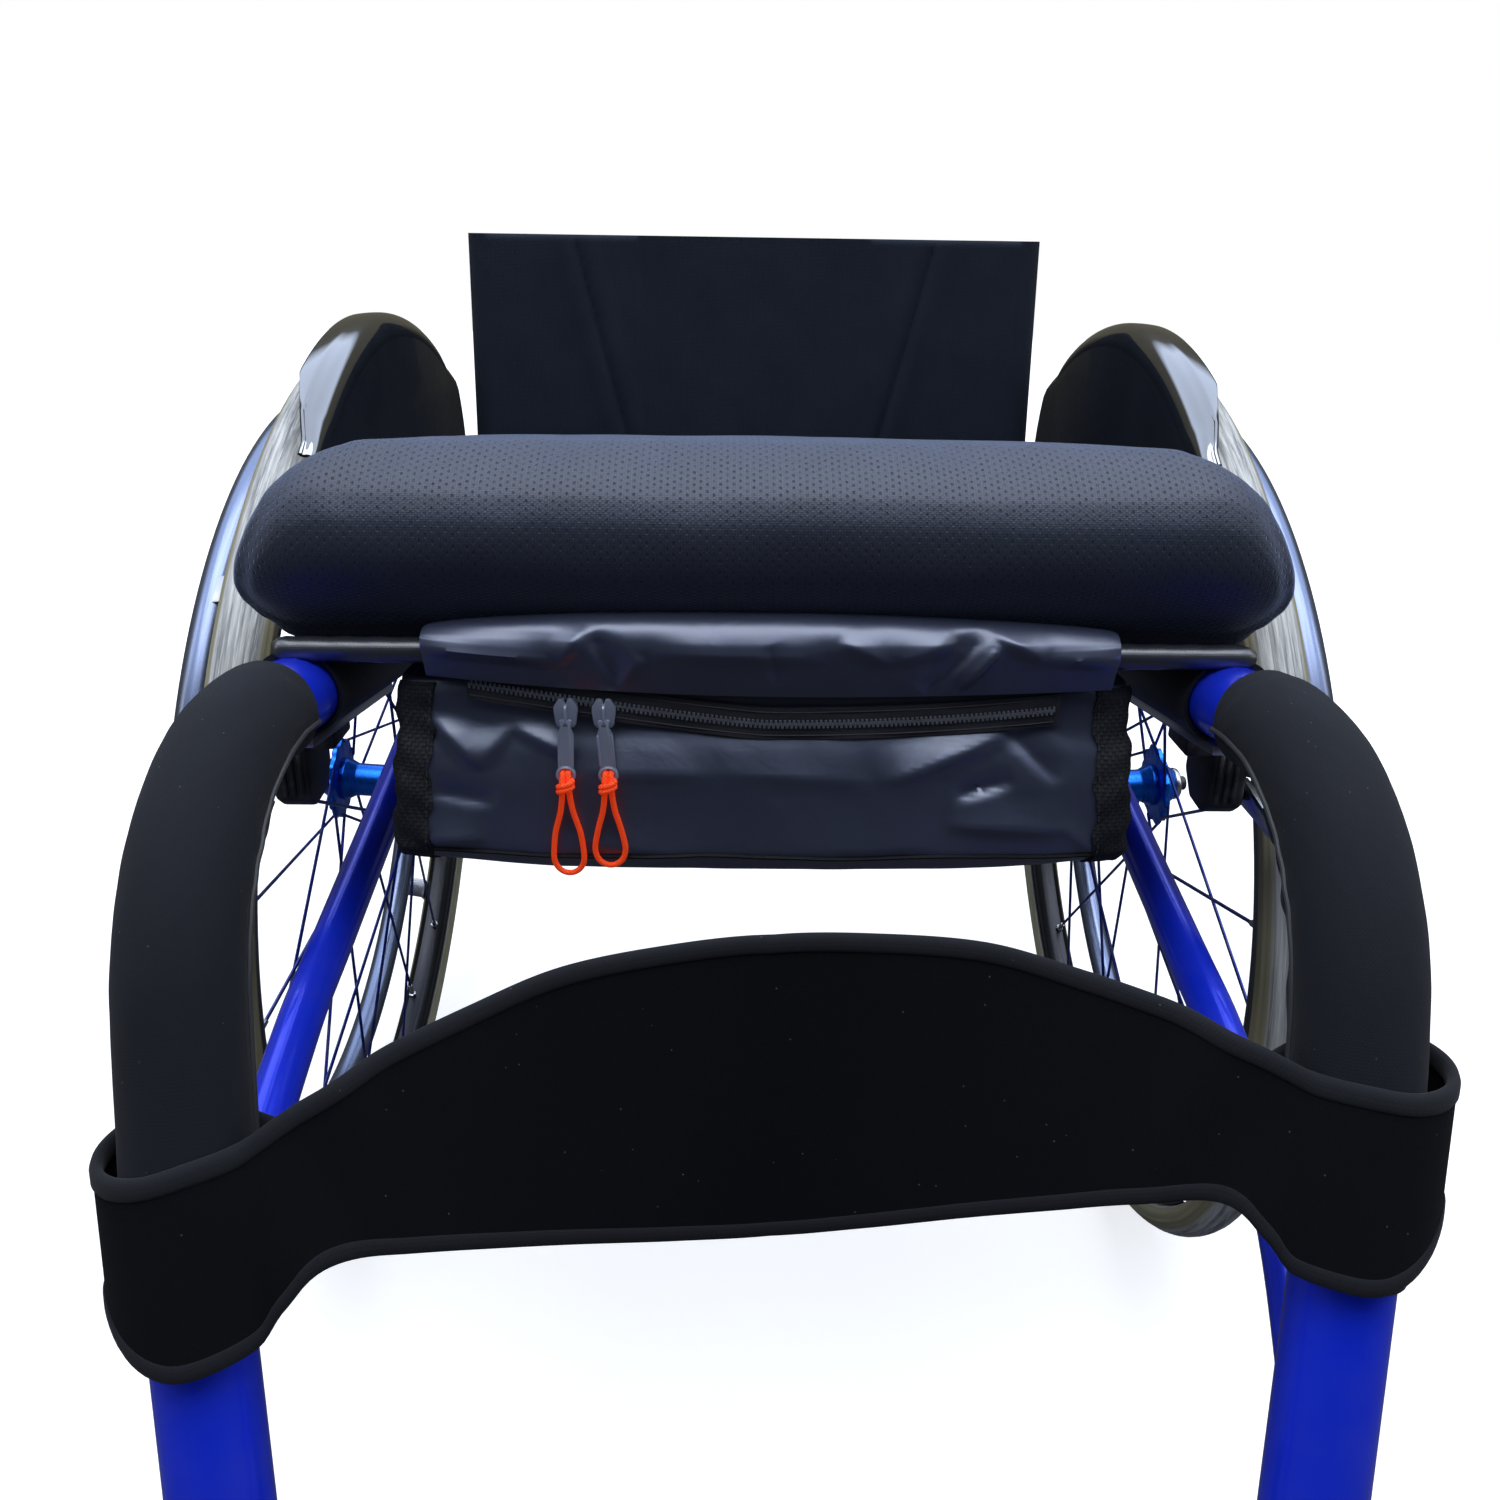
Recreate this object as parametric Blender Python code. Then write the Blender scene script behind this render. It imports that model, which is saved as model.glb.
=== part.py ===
"""Active wheelchair with a rigid frame. Metres, +Z up, the chair faces -Y. Left and right are the
sitter's own sides, so the left side is at +X."""
import math
import bmesh
import bpy
from mathutils import Matrix, Vector

for old in list(bpy.data.objects):
    bpy.data.objects.remove(old)

MM = 0.001
GAP = 0.3 * MM

# Where the axle stands along Y, so that the chair's box is centred on the origin.
AXLE_Y = 181.9 * MM
AXLE_Z = 302.4 * MM

# Rear wheels
WHEEL_X = 265.5 * MM
CAMBER = math.radians(3.7)
TYRE_R = 303 * MM
TYRE_HALF = 15 * MM
RIM_R = 283 * MM
RIM_HALF = 11 * MM
RIM_DEPTH = 18 * MM
HANDRIM_R = 255.5 * MM
HANDRIM_TUBE = 9.5 * MM
HANDRIM_OUT = 32 * MM
HANDRIM_TABS = 6
SPOKES = 24
SPOKE_R = 1.2 * MM
FLANGE_R = 29 * MM
FLANGE_OUT = 25 * MM
HUB_R = 14.5 * MM
HUB_HALF = 36 * MM
PIN_R = 6.3 * MM
WHEEL_STEPS = 40

# Frame
RAIL_X = 203 * MM
TUBE_R = 17 * MM
RAIL_RISE = 0.15
RAIL_Z = 431.5 * MM
RAIL_BACK = 158 * MM
LEG_LEAN = 0.42
LEG_TAPER = 0.14
LEG_POINT = (185 * MM, -525 * MM, 300 * MM)
LEG_END_Z = 132 * MM
TUBE_STEPS = 16
KNEE_R = 110 * MM
CLAMP_R = 20.8 * MM
SLEEVE_START = -347 * MM
SLEEVE_END_Z = 345 * MM
SLEEVE_WALL = 4.2 * MM
LOWER_R = 10 * MM
LOWER_X = 207 * MM
AXLE_TUBE_HALF = 221 * MM
AXLE_TUBE_Z = 298 * MM

# Calf strap: the height where it rounds the legs, its rise to the left and its thickness
STRAP_Z = 368 * MM
STRAP_TILT = 0.065
STRAP_THICK = 3.2 * MM

# Castors
CASTOR_X = 178 * MM
CASTOR_Y = -478 * MM
CASTOR_R = 50 * MM
CASTOR_HALF = 13 * MM
TRAIL = 36 * MM

# Seat
SEAT_HALF = 206 * MM
SEAT_FRONT = -312 * MM
SEAT_BACK = 58 * MM
CLOTH = 3 * MM
CUSHION_HALF = 221 * MM
CUSHION_FRONT = -340 * MM
CUSHION_BACK = 88 * MM
CUSHION_HIGH = 85 * MM
BEAD_R = 5.5 * MM
# The pad is a little wider in front of the side guards.
SPREAD = 0.03

# Backrest
PIVOT_Y = 140 * MM
PIVOT_Z = 506 * MM
CANE_X = 191 * MM
CANE_R = 11 * MM
BACK_TOP_Z = 664 * MM
BACK_BOTTOM_Z = 522 * MM
RECLINE = 0.094

# Side guards: a thin panel, and a rounded fold and flange that follow the tyre about the axle
GUARD_X = 224.6 * MM
GUARD_THICK = 2 * MM
GUARD_R = 315 * MM
GUARD_FOLD = 14 * MM
GUARD_WIDE = 24.5 * MM
GUARD_NARROW = 9.5 * MM
GUARD_FRONT = -33.6
GUARD_REAR = 33.0
GUARD_STEPS = 11
# The flange narrows past this angle, by this much with each degree.
GUARD_FULL = 22.0
GUARD_TAPER = 1.35 * MM

# Zip across the front of the pouch, and each slider's place and the tilt of its pull
ZIP_Z = 466 * MM
ZIP_Y = -309 * MM
SLIDERS = ((-87 * MM, 0.03), (-70.5 * MM, -0.06))

# Wheel locks: the hinge points of lever and shoe, and the length of the shoe's arm
LOCK_Y = -262 * MM
LEVER_Z = 430 * MM
SHOE_Z = 414 * MM
SHOE_ARM = 40 * MM


def material(name, colour, metallic=0.0, roughness=0.6):
    """A plain Principled material."""
    made = bpy.data.materials.new(name)
    made.use_nodes = True
    shader = made.node_tree.nodes["Principled BSDF"]
    shader.inputs["Base Color"].default_value = (*colour, 1)
    shader.inputs["Metallic"].default_value = metallic
    shader.inputs["Roughness"].default_value = roughness
    return made


BLUE = (0.012, 0.02, 0.55)
BRIGHT_BLUE = (0.01, 0.08, 0.75)
BLACK = (0.012, 0.012, 0.014)
CLOTH_BLACK = (0.016, 0.017, 0.022)
NAVY = (0.018, 0.022, 0.036)
BAG_BLUE = (0.045, 0.052, 0.09)
SILVER = (0.6, 0.61, 0.62)
TYRE_GREY = (0.42, 0.42, 0.39)
ORANGE = (0.85, 0.09, 0.01)


def finish(obj, colour, metallic=0.0, roughness=0.6, smooth=True):
    """Faces out, smooth shading on the round pieces, own material."""
    shell = bmesh.new()
    shell.from_mesh(obj.data)
    bmesh.ops.recalc_face_normals(shell, faces=shell.faces)
    shell.to_mesh(obj.data)
    shell.free()
    obj.data.materials.clear()
    obj.data.materials.append(material(obj.name + "_paint", colour, metallic, roughness))
    if smooth:
        obj.data.shade_smooth()
        obj.data.set_sharp_from_angle(angle=math.radians(35))
    return obj


def new_object(name, points, faces):
    mesh = bpy.data.meshes.new(name)
    mesh.from_pydata([tuple(p) for p in points], [], faces)
    mesh.validate()
    obj = bpy.data.objects.new(name, mesh)
    bpy.context.scene.collection.objects.link(obj)
    shell = bmesh.new()
    shell.from_mesh(mesh)
    bmesh.ops.recalc_face_normals(shell, faces=shell.faces)
    shell.to_mesh(mesh)
    shell.free()
    return obj


def skin(name, rings, closed=False):
    """One body through a row of rings with the same number of points. Open rows get end caps."""
    count = len(rings[0])
    points = [p for ring in rings for p in ring]
    faces = []
    rows = len(rings) if closed else len(rings) - 1
    for i in range(rows):
        a = i * count
        b = (i + 1) % len(rings) * count
        for j in range(count):
            k = (j + 1) % count
            faces.append((a + j, a + k, b + k, b + j))
    if not closed:
        faces.append(tuple(range(count)))
        faces.append(tuple(range(len(points) - count, len(points))))
    return new_object(name, points, faces)


def frames(path):
    """(point, across, up) at each point of a path, turned as little as possible."""
    path = [Vector(p) for p in path]
    found = []
    up = None
    for i, point in enumerate(path):
        ahead = path[min(i + 1, len(path) - 1)] - path[max(i - 1, 0)]
        ahead.normalize()
        if up is None:
            guess = Vector((1, 0, 0)) if abs(ahead.x) < 0.8 else Vector((0, 0, 1))
        else:
            guess = up
        up = (guess - ahead * guess.dot(ahead)).normalized()
        found.append((point, ahead.cross(up), up))
    return found


def tube_rings(path, radii, steps):
    rings = []
    for (point, across, up), radius in zip(frames(path), radii):
        turn = [2 * math.pi * (k + 0.5) / steps for k in range(steps)]
        rings.append([point + (up * math.cos(t) + across * math.sin(t)) * radius for t in turn])
    return rings


def tube(name, path, radius, steps=14, closed=False):
    return skin(name, tube_rings(path, [radius] * len(path), steps), closed)


def lathe(name, profile, steps, place=Matrix()):
    """A closed profile of (along X, radius) points turned about the X axis."""
    rings = []
    for i in range(steps):
        t = 2 * math.pi * i / steps
        rings.append([place @ Vector((x, r * math.sin(t), r * math.cos(t))) for x, r in profile])
    return skin(name, rings, closed=True)


def bar(name, start, end, radius, steps=16):
    return tube(name, [start, end], radius, steps)


def block(name, low, high):
    xs, ys, zs = zip(low, high)
    points = [(x, y, z) for x in xs for y in ys for z in zs]
    faces = [(0, 1, 3, 2), (4, 6, 7, 5), (0, 4, 5, 1), (2, 3, 7, 6), (0, 2, 6, 4), (1, 5, 7, 3)]
    return new_object(name, points, faces)


def plate(name, outline, x0, x1):
    """A side view outline of (y, z) points made as thick as x0 to x1."""
    return skin(name, [[(x0, y, z) for y, z in outline], [(x1, y, z) for y, z in outline]])


def boolean(obj, other, operation):
    """Joins the other object to this one, or cuts it out, and removes the other."""
    step = obj.modifiers.new("step", "BOOLEAN")
    step.operation = operation
    step.solver = "EXACT"
    step.object = other
    graph = bpy.context.evaluated_depsgraph_get()
    made = bpy.data.meshes.new_from_object(obj.evaluated_get(graph))
    obj.modifiers.remove(step)
    obj.data = made
    bpy.data.objects.remove(other)
    return obj


def join(obj, *others):
    for other in others:
        boolean(obj, other, "UNION")
    return obj


def cut(obj, *others):
    for other in others:
        boolean(obj, other, "DIFFERENCE")
    return obj


def named(side, word):
    return word + ("_left" if side > 0 else "_right")


def at_axle(point):
    """From coordinates measured from the floor under the axle to the chair's own."""
    return Vector((point[0], point[1] + AXLE_Y, point[2]))


def rail_z(y):
    return RAIL_Z - RAIL_RISE * y


def leg_at(side, z):
    x, y, zero = LEG_POINT
    return Vector((side * (x + LEG_TAPER * (z - zero)), y + LEG_LEAN * (z - zero), z))


def rounded(corner_a, corner, corner_b, radius, count):
    """Points of an arc that rounds a corner between two straight runs."""
    to_a = (Vector(corner_a) - Vector(corner)).normalized()
    to_b = (Vector(corner_b) - Vector(corner)).normalized()
    half = to_a.angle(to_b) / 2
    reach = radius / math.tan(half)
    centre = Vector(corner) + (to_a + to_b).normalized() * radius / math.sin(half)
    start = Vector(corner) + to_a * reach - centre
    end = Vector(corner) + to_b * reach - centre
    angle = start.angle(end)
    points = []
    for i in range(count + 1):
        t = i / count
        mix = start * math.sin((1 - t) * angle) + end * math.sin(t * angle)
        points.append(centre + mix / math.sin(angle))
    return points


def knee_points(side):
    """The main tube's run that the sleeve covers: end of the rail, the bend and the top of the leg."""
    x = side * RAIL_X
    z = RAIL_Z
    for _ in range(20):
        y = LEG_POINT[1] + LEG_LEAN * (z - LEG_POINT[2])
        z = rail_z(y)
    knee = Vector((x, y, z))
    back = Vector((x, SLEEVE_START, rail_z(SLEEVE_START)))
    foot = leg_at(side, SLEEVE_END_Z)
    bend = rounded(back, knee, foot, KNEE_R, 7)
    return [back] + bend + [leg_at(side, (SLEEVE_END_Z + bend[-1].z) / 2), foot]


def frame_path(side):
    """The bent main tube from behind the seat to the foot of the leg."""
    back = Vector((side * RAIL_X, RAIL_BACK, rail_z(RAIL_BACK)))
    return [at_axle(p) for p in [back] + knee_points(side) + [leg_at(side, LEG_END_Z)]]


def side_frame(side):
    """Main tube, lower tube, castor arm and castor head welded into one."""
    path = frame_path(side)
    frame = tube(named(side, "side_frame"), path, TUBE_R, TUBE_STEPS)
    joint = leg_at(side, 287 * MM)
    lower = [(side * RAIL_X, 38 * MM, 424.5 * MM), (side * LOWER_X, -60 * MM, 391 * MM),
             (side * LOWER_X, -355 * MM, 334 * MM), (side * (LOWER_X - 5 * MM), -440 * MM, 313 * MM),
             joint]
    arm = leg_at(side, 148 * MM)
    head = (side * CASTOR_X, CASTOR_Y, 148 * MM)
    head_low = (side * CASTOR_X, CASTOR_Y, 113.5 * MM)
    head_high = (side * CASTOR_X, CASTOR_Y, 166 * MM)
    join(frame,
         tube("lower", [at_axle(p) for p in lower], LOWER_R, 12),
         bar("arm", at_axle(arm), at_axle(head), 11 * MM, 12),
         bar("head", at_axle(head_low), at_axle(head_high), 16 * MM, 20))
    bore_low = (side * CASTOR_X, CASTOR_Y, 100 * MM)
    bore_high = (side * CASTOR_X, CASTOR_Y, 180 * MM)
    end = leg_at(side, LEG_END_Z)
    down = (leg_at(side, LEG_END_Z - 20 * MM) - end)
    cut(frame, bar("bore", at_axle(bore_low), at_axle(bore_high), 6.6 * MM, 16),
        bar("socket", at_axle(end + down), at_axle(end - down * 3), 13 * MM, 16))
    finish(frame, BLUE, 0.35, 0.28)


def rail_plug(side):
    """Cap on the rear end of the seat rail."""
    end = frame_path(side)[0]
    along = (end - frame_path(side)[1]).normalized()
    plug = bar(named(side, "rail_plug"), end + along * GAP, end + along * 3 * MM, TUBE_R - 0.5 * MM, 18)
    finish(plug, BLACK, 0, 0.5)


def axle_tube():
    """The cross tube, with a socket at each end on the line of the cambered axle."""
    ends = [at_axle((x, 0, AXLE_TUBE_Z)) for x in (-AXLE_TUBE_HALF, AXLE_TUBE_HALF)]
    tube_obj = bar("axle_tube", ends[0], ends[1], TUBE_R, 24)
    for side in (1, -1):
        hub = wheel_place(side)
        socket = bar("socket", hub @ Vector((-100 * MM, 0, 0)), hub @ Vector((-20 * MM, 0, 0)),
                     PIN_R + GAP, 16)
        cut(tube_obj, socket)
    finish(tube_obj, BRIGHT_BLUE, 0.6, 0.22)


def upright(side):
    """Plate that clamps the axle tube under the seat rail."""
    x0 = side * 189 * MM
    x1 = side * 217 * MM
    web0 = side * 196 * MM
    web1 = side * 210 * MM
    y_top = 78 * MM
    z_top = rail_z(y_top)
    outline = [(y_top - 18 * MM, z_top - 5 * MM), (-23 * MM, AXLE_TUBE_Z + 2 * MM),
               (22 * MM, AXLE_TUBE_Z - 4 * MM), (y_top + 18 * MM, z_top - 5 * MM)]
    body = plate(named(side, "axle_upright"), [(y + AXLE_Y, z) for y, z in outline], web0, web1)
    half = 15 * MM
    back = Vector((side * RAIL_X, y_top + half, rail_z(y_top + half)))
    front = Vector((side * RAIL_X, y_top - half, rail_z(y_top - half)))
    along = (back - front) * 4
    low = Vector((x0, 0, AXLE_TUBE_Z))
    high = Vector((x1, 0, AXLE_TUBE_Z))
    join(body, bar("clamp", at_axle(back), at_axle(front), CLAMP_R, 20),
         bar("clamp", at_axle(low), at_axle(high), 24 * MM, 20))
    past_low = (side * 150 * MM, 0, AXLE_TUBE_Z)
    past_high = (side * 250 * MM, 0, AXLE_TUBE_Z)
    cut(body, bar("bore", at_axle(back + along), at_axle(front - along), TUBE_R + GAP, 18),
        bar("bore", at_axle(past_low), at_axle(past_high), TUBE_R + GAP, 24))
    finish(body, BLACK, 0.3, 0.4)


def wheel_place(side):
    """The hub's own frame: X points outwards along the cambered axle."""
    centre = at_axle((side * WHEEL_X, 0, AXLE_Z))
    turn = Matrix.Rotation(0 if side > 0 else math.pi, 4, "Z") @ Matrix.Rotation(-CAMBER, 4, "Y")
    return Matrix.Translation(centre) @ turn


def hub(side):
    """Hub shell, two flanges and the crossed spokes, ending just inside the rim."""
    shell = [(-HUB_HALF, PIN_R + GAP), (-HUB_HALF, HUB_R - 3 * MM), (-FLANGE_OUT - 6 * MM, HUB_R),
             (-FLANGE_OUT - 3 * MM, FLANGE_R), (-FLANGE_OUT + MM, FLANGE_R),
             (-FLANGE_OUT + 3 * MM, HUB_R), (FLANGE_OUT - 3 * MM, HUB_R), (FLANGE_OUT - MM, FLANGE_R),
             (FLANGE_OUT + 3 * MM, FLANGE_R), (FLANGE_OUT + 6 * MM, HUB_R),
             (HUB_HALF, HUB_R - 2 * MM), (HUB_HALF, PIN_R + GAP)]
    body = lathe(named(side, "hub"), shell, 20)
    end_r = RIM_R - RIM_DEPTH - 2 * MM
    lacing = math.radians(68)
    for i in range(SPOKES):
        flange = FLANGE_OUT if i % 2 else -FLANGE_OUT
        way = 1 if i % 4 < 2 else -1
        at_rim = 2 * math.pi * (i + 0.5) / SPOKES
        at_hub = at_rim + way * lacing
        root = FLANGE_R - 3 * MM
        x_hub = flange + (1.4 * MM if way > 0 else -1.4 * MM)
        start = Vector((x_hub, root * math.sin(at_hub), root * math.cos(at_hub)))
        x_rim = 3 * MM if i % 2 else -3 * MM
        end = Vector((x_rim, end_r * math.sin(at_rim), end_r * math.cos(at_rim)))
        join(body, tube("spoke", [start, end], SPOKE_R, 4))
    body.matrix_world = wheel_place(side)
    finish(body, BRIGHT_BLUE, 0.6, 0.3)


def rim(side):
    deep = RIM_R - RIM_DEPTH
    well = RIM_HALF - 2.5 * MM
    profile = [(-6 * MM, deep), (6 * MM, deep), (RIM_HALF, deep + 6 * MM), (RIM_HALF, RIM_R),
               (well, RIM_R), (well, RIM_R - 6 * MM), (-well, RIM_R - 6 * MM), (-well, RIM_R),
               (-RIM_HALF, RIM_R), (-RIM_HALF, deep + 6 * MM)]
    body = lathe(named(side, "rim"), profile, WHEEL_STEPS)
    body.matrix_world = wheel_place(side)
    finish(body, BLACK, 0.7, 0.35)


def tyre(side):
    """A full ring seated above the rim: the hollow inside a tyre isn't seen."""
    base = RIM_R + GAP
    middle = TYRE_R - TYRE_HALF
    profile = [(-8 * MM, base), (8 * MM, base), (TYRE_HALF - 2 * MM, base + MM)]
    for i in range(6):
        t = math.pi * i / 5
        profile.append((TYRE_HALF * math.cos(t), middle + TYRE_HALF * math.sin(t)))
    profile.append((-TYRE_HALF + 2 * MM, base + MM))
    body = lathe(named(side, "tyre"), profile, WHEEL_STEPS)
    body.matrix_world = wheel_place(side)
    finish(body, TYRE_GREY, 0, 0.8)


def handrim(side):
    """Push ring with its tabs, which reach in to the side of the rim."""
    ring = [(HANDRIM_OUT + HANDRIM_TUBE * math.cos(2 * math.pi * k / 7),
             HANDRIM_R + HANDRIM_TUBE * math.sin(2 * math.pi * k / 7)) for k in range(7)]
    body = lathe(named(side, "handrim"), ring, WHEEL_STEPS)
    for i in range(HANDRIM_TABS):
        turn = Matrix.Rotation(2 * math.pi * (i + 0.25) / HANDRIM_TABS, 4, "X")
        reach = skin("reach", [[(RIM_HALF + GAP, y * MM, RIM_R - 11 * MM),
                                (RIM_HALF + GAP, y * MM, RIM_R - 6 * MM),
                                (HANDRIM_OUT, y * MM, HANDRIM_R + 5 * MM),
                                (HANDRIM_OUT, y * MM, HANDRIM_R)] for y in (-8, 8)])
        reach.data.transform(turn)
        join(body, reach)
    body.matrix_world = wheel_place(side)
    finish(body, SILVER, 0.85, 0.3)


def axle_pin(side):
    """Quick release pin through the hub into the cross tube, with its head outside."""
    inner = -HUB_HALF - 30 * MM
    outer = HUB_HALF + GAP
    profile = [(inner, 1.0 * MM), (inner, PIN_R - 1.5 * MM), (inner + 2 * MM, PIN_R), (outer, PIN_R),
               (outer, 11 * MM), (outer + 5 * MM, 10 * MM), (outer + 5 * MM, 5.3 * MM),
               (outer + MM, 5.3 * MM), (outer + MM, 1.0 * MM)]
    body = lathe(named(side, "axle_pin"), profile, 20)
    body.matrix_world = wheel_place(side)
    finish(body, SILVER, 0.9, 0.25)


def axle_button(side):
    start = HUB_HALF + 4.5 * MM
    body = bar(named(side, "axle_button"), (start, 0, 0), (start + 6 * MM, 0, 0), 5 * MM, 16)
    body.matrix_world = wheel_place(side)
    finish(body, BLACK, 0, 0.4)


def castor(side):
    """Fork, wheel, tyre and bolt of one castor, with the fork's origin on the swivel axis."""
    stem = at_axle((side * CASTOR_X, CASTOR_Y, 0))
    crown_low = 2 * CASTOR_R + 3 * MM
    crown_high = crown_low + 8 * MM
    inside = CASTOR_HALF + 2.5 * MM
    outside = inside + 5 * MM
    arm = [(-16 * MM, crown_high), (14 * MM, crown_high), (TRAIL + 9 * MM, CASTOR_R + 4 * MM),
           (TRAIL + 6 * MM, CASTOR_R - 8 * MM), (TRAIL - 6 * MM, CASTOR_R - 8 * MM),
           (TRAIL - 10 * MM, CASTOR_R + 4 * MM), (-16 * MM, crown_low)]
    fork = block(named(side, "castor_fork"), (-outside, -16 * MM, crown_low),
                 (outside, 14 * MM, crown_high))
    join(fork, plate("arm", arm, -outside, -inside), plate("arm", arm, inside, outside),
         bar("stem", (0, 0, crown_low + MM), (0, 0, 168 * MM), 6.2 * MM, 16),
         bar("cap", (0, 0, 166.6 * MM), (0, 0, 171 * MM), 12 * MM, 16))
    reach = outside + MM
    cut(fork, bar("hole", (-reach, TRAIL, CASTOR_R), (reach, TRAIL, CASTOR_R), 4.3 * MM, 12))
    fork.location = stem
    finish(fork, BLACK, 0.4, 0.35)
    centre = stem + Vector((0, TRAIL, CASTOR_R))
    core_r = CASTOR_R - 12 * MM
    core = lathe(named(side, "castor_core"),
                 [(-CASTOR_HALF, 4.3 * MM), (-CASTOR_HALF, 11 * MM), (-5 * MM, 14 * MM),
                  (-5 * MM, core_r - 6 * MM), (-10 * MM, core_r - 2 * MM), (-10 * MM, core_r),
                  (10 * MM, core_r), (10 * MM, core_r - 2 * MM), (5 * MM, core_r - 6 * MM),
                  (5 * MM, 14 * MM), (CASTOR_HALF, 11 * MM), (CASTOR_HALF, 4.3 * MM)], 18)
    core.location = centre
    finish(core, BLACK, 0.2, 0.4)
    band = [(-9 * MM, core_r + GAP), (9 * MM, core_r + GAP)]
    for i in range(5):
        t = math.pi * i / 4
        band.append((12 * MM * math.cos(t), CASTOR_R - 7 * MM + 7 * MM * math.sin(t)))
    ring = lathe(named(side, "castor_tyre"), band, 24)
    ring.location = centre
    finish(ring, (0.03, 0.03, 0.032), 0, 0.75)
    bolt = bar(named(side, "castor_bolt"), (-outside - GAP, 0, 0), (outside + GAP, 0, 0), 4 * MM, 12)
    join(bolt, bar("head", (-outside - 4.5 * MM, 0, 0), (-outside - GAP, 0, 0), 7.5 * MM, 6),
         bar("nut", (outside + GAP, 0, 0), (outside + 4.5 * MM, 0, 0), 7 * MM, 6))
    bolt.location = centre
    finish(bolt, SILVER, 0.9, 0.3)


def footrest():
    """A bent tube held in the feet of both legs, and the plate on it."""
    tops = {}
    for side in (1, -1):
        end = leg_at(side, LEG_END_Z)
        down = (leg_at(side, LEG_END_Z - 20 * MM) - end)
        low = end + down * 2.2
        corner = Vector((low.x * 0.985, low.y - 3 * MM, low.z - 12 * MM))
        tops[side] = [end - down * 2.8, end - down, end + down, low,
                      Vector((corner.x - side * 5 * MM, corner.y, corner.z - 2 * MM)),
                      Vector((corner.x - side * 20 * MM, corner.y - MM, corner.z - 6 * MM))]
    path = tops[1] + list(reversed(tops[-1]))
    body = tube("footrest_tube", [at_axle(p) for p in path], 12.6 * MM, 14)
    finish(body, SILVER, 0.8, 0.35)
    cross_y = tops[1][-1].y
    top_z = tops[1][-1].z + 12.6 * MM + GAP
    deck = block("footplate", at_axle((-132 * MM, cross_y - 48 * MM, top_z)),
                 at_axle((132 * MM, cross_y + 52 * MM, top_z + 5 * MM)))
    finish(deck, BLACK, 0.2, 0.6, smooth=False)


def seat_sling():
    """Cloth from rail to rail, hooked over both tubes, with a rolled front hem."""
    inner = TUBE_R + GAP
    outer = inner + CLOTH
    under = []
    over = []
    for i in range(9):
        t = math.radians(90 - 15 * i)
        under.append((RAIL_X + inner * math.cos(t), inner * math.sin(t)))
        over.append((RAIL_X + outer * math.cos(t), outer * math.sin(t)))
    sag = [(0.0, -4 * MM), (RAIL_X * 0.55, -2.5 * MM), (RAIL_X * 0.9, -0.4 * MM)]
    top = [(x, outer + z) for x, z in sag] + over
    low = [(x, outer + z - CLOTH) for x, z in sag] + under
    ring = top + list(reversed(low)) + [(-x, z) for x, z in low[1:]] + \
        [(-x, z) for x, z in reversed(top[1:])]
    rings = []
    for y in (SEAT_FRONT, SEAT_FRONT * 0.55, SEAT_FRONT * 0.1, SEAT_BACK):
        rings.append([at_axle((x, y, rail_z(y) + z)) for x, z in ring])
    body = skin("seat_sling", rings)
    z = rail_z(SEAT_FRONT) + inner + BEAD_R
    bead = bar("bead", at_axle((-SEAT_HALF - 5 * MM, SEAT_FRONT + MM, z)),
               at_axle((SEAT_HALF + 5 * MM, SEAT_FRONT + MM, z)), BEAD_R, 12)
    join(body, bead)
    finish(body, CLOTH_BLACK, 0, 0.85)


def edge_ticks(half, edge, inner):
    """Places along one axis: even ones over the flat part, and two in each rounded edge."""
    flat = half - edge
    ends = [half - 0.586 * edge, half]
    middle = [-flat + 2 * flat * i / inner for i in range(inner + 1)]
    return [-e for e in reversed(ends)] + middle + ends


def soft_box(name, half, depth, high, cells, edge, crown, place):
    """A padded block: rounded edges, a crown on the top face and sides drawn in a little."""
    ticks = [edge_ticks(size, edge, n) for size, n in zip((half, depth / 2, high / 2), cells)]
    nx, ny, nz = (len(row) - 1 for row in ticks)
    index = {}
    points = []
    faces = []

    def corner(i, j, k):
        if (i, j, k) not in index:
            raw = Vector((ticks[0][i], ticks[1][j], ticks[2][k]))
            u, v, w = raw.x / half, raw.y / depth * 2, raw.z
            core = Vector((max(-half + edge, min(half - edge, raw.x)),
                           max(-depth / 2 + edge, min(depth / 2 - edge, raw.y)),
                           max(-high / 2 + edge, min(high / 2 - edge, raw.z))))
            out = raw - core
            if out.length > 0:
                raw = core + out.normalized() * edge
            bulge = (1 - u * u) * (1 - v * v)
            raw.z += crown * bulge if w > 0 else 0
            raw.x *= 1 - 0.006 * (1 - v * v) + SPREAD * ((1 - v) / 2) ** 4
            index[(i, j, k)] = len(points)
            points.append(place @ raw)
        return index[(i, j, k)]

    for i in range(nx):
        for j in range(ny):
            for k in (0, nz):
                faces.append([corner(i, j, k), corner(i + 1, j, k), corner(i + 1, j + 1, k),
                              corner(i, j + 1, k)])
    for i in range(nx):
        for k in range(nz):
            for j in (0, ny):
                faces.append([corner(i, j, k), corner(i + 1, j, k), corner(i + 1, j, k + 1),
                              corner(i, j, k + 1)])
    for j in range(ny):
        for k in range(nz):
            for i in (0, nx):
                faces.append([corner(i, j, k), corner(i, j + 1, k), corner(i, j + 1, k + 1),
                              corner(i, j, k + 1)])
    return new_object(name, points, faces)


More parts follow.
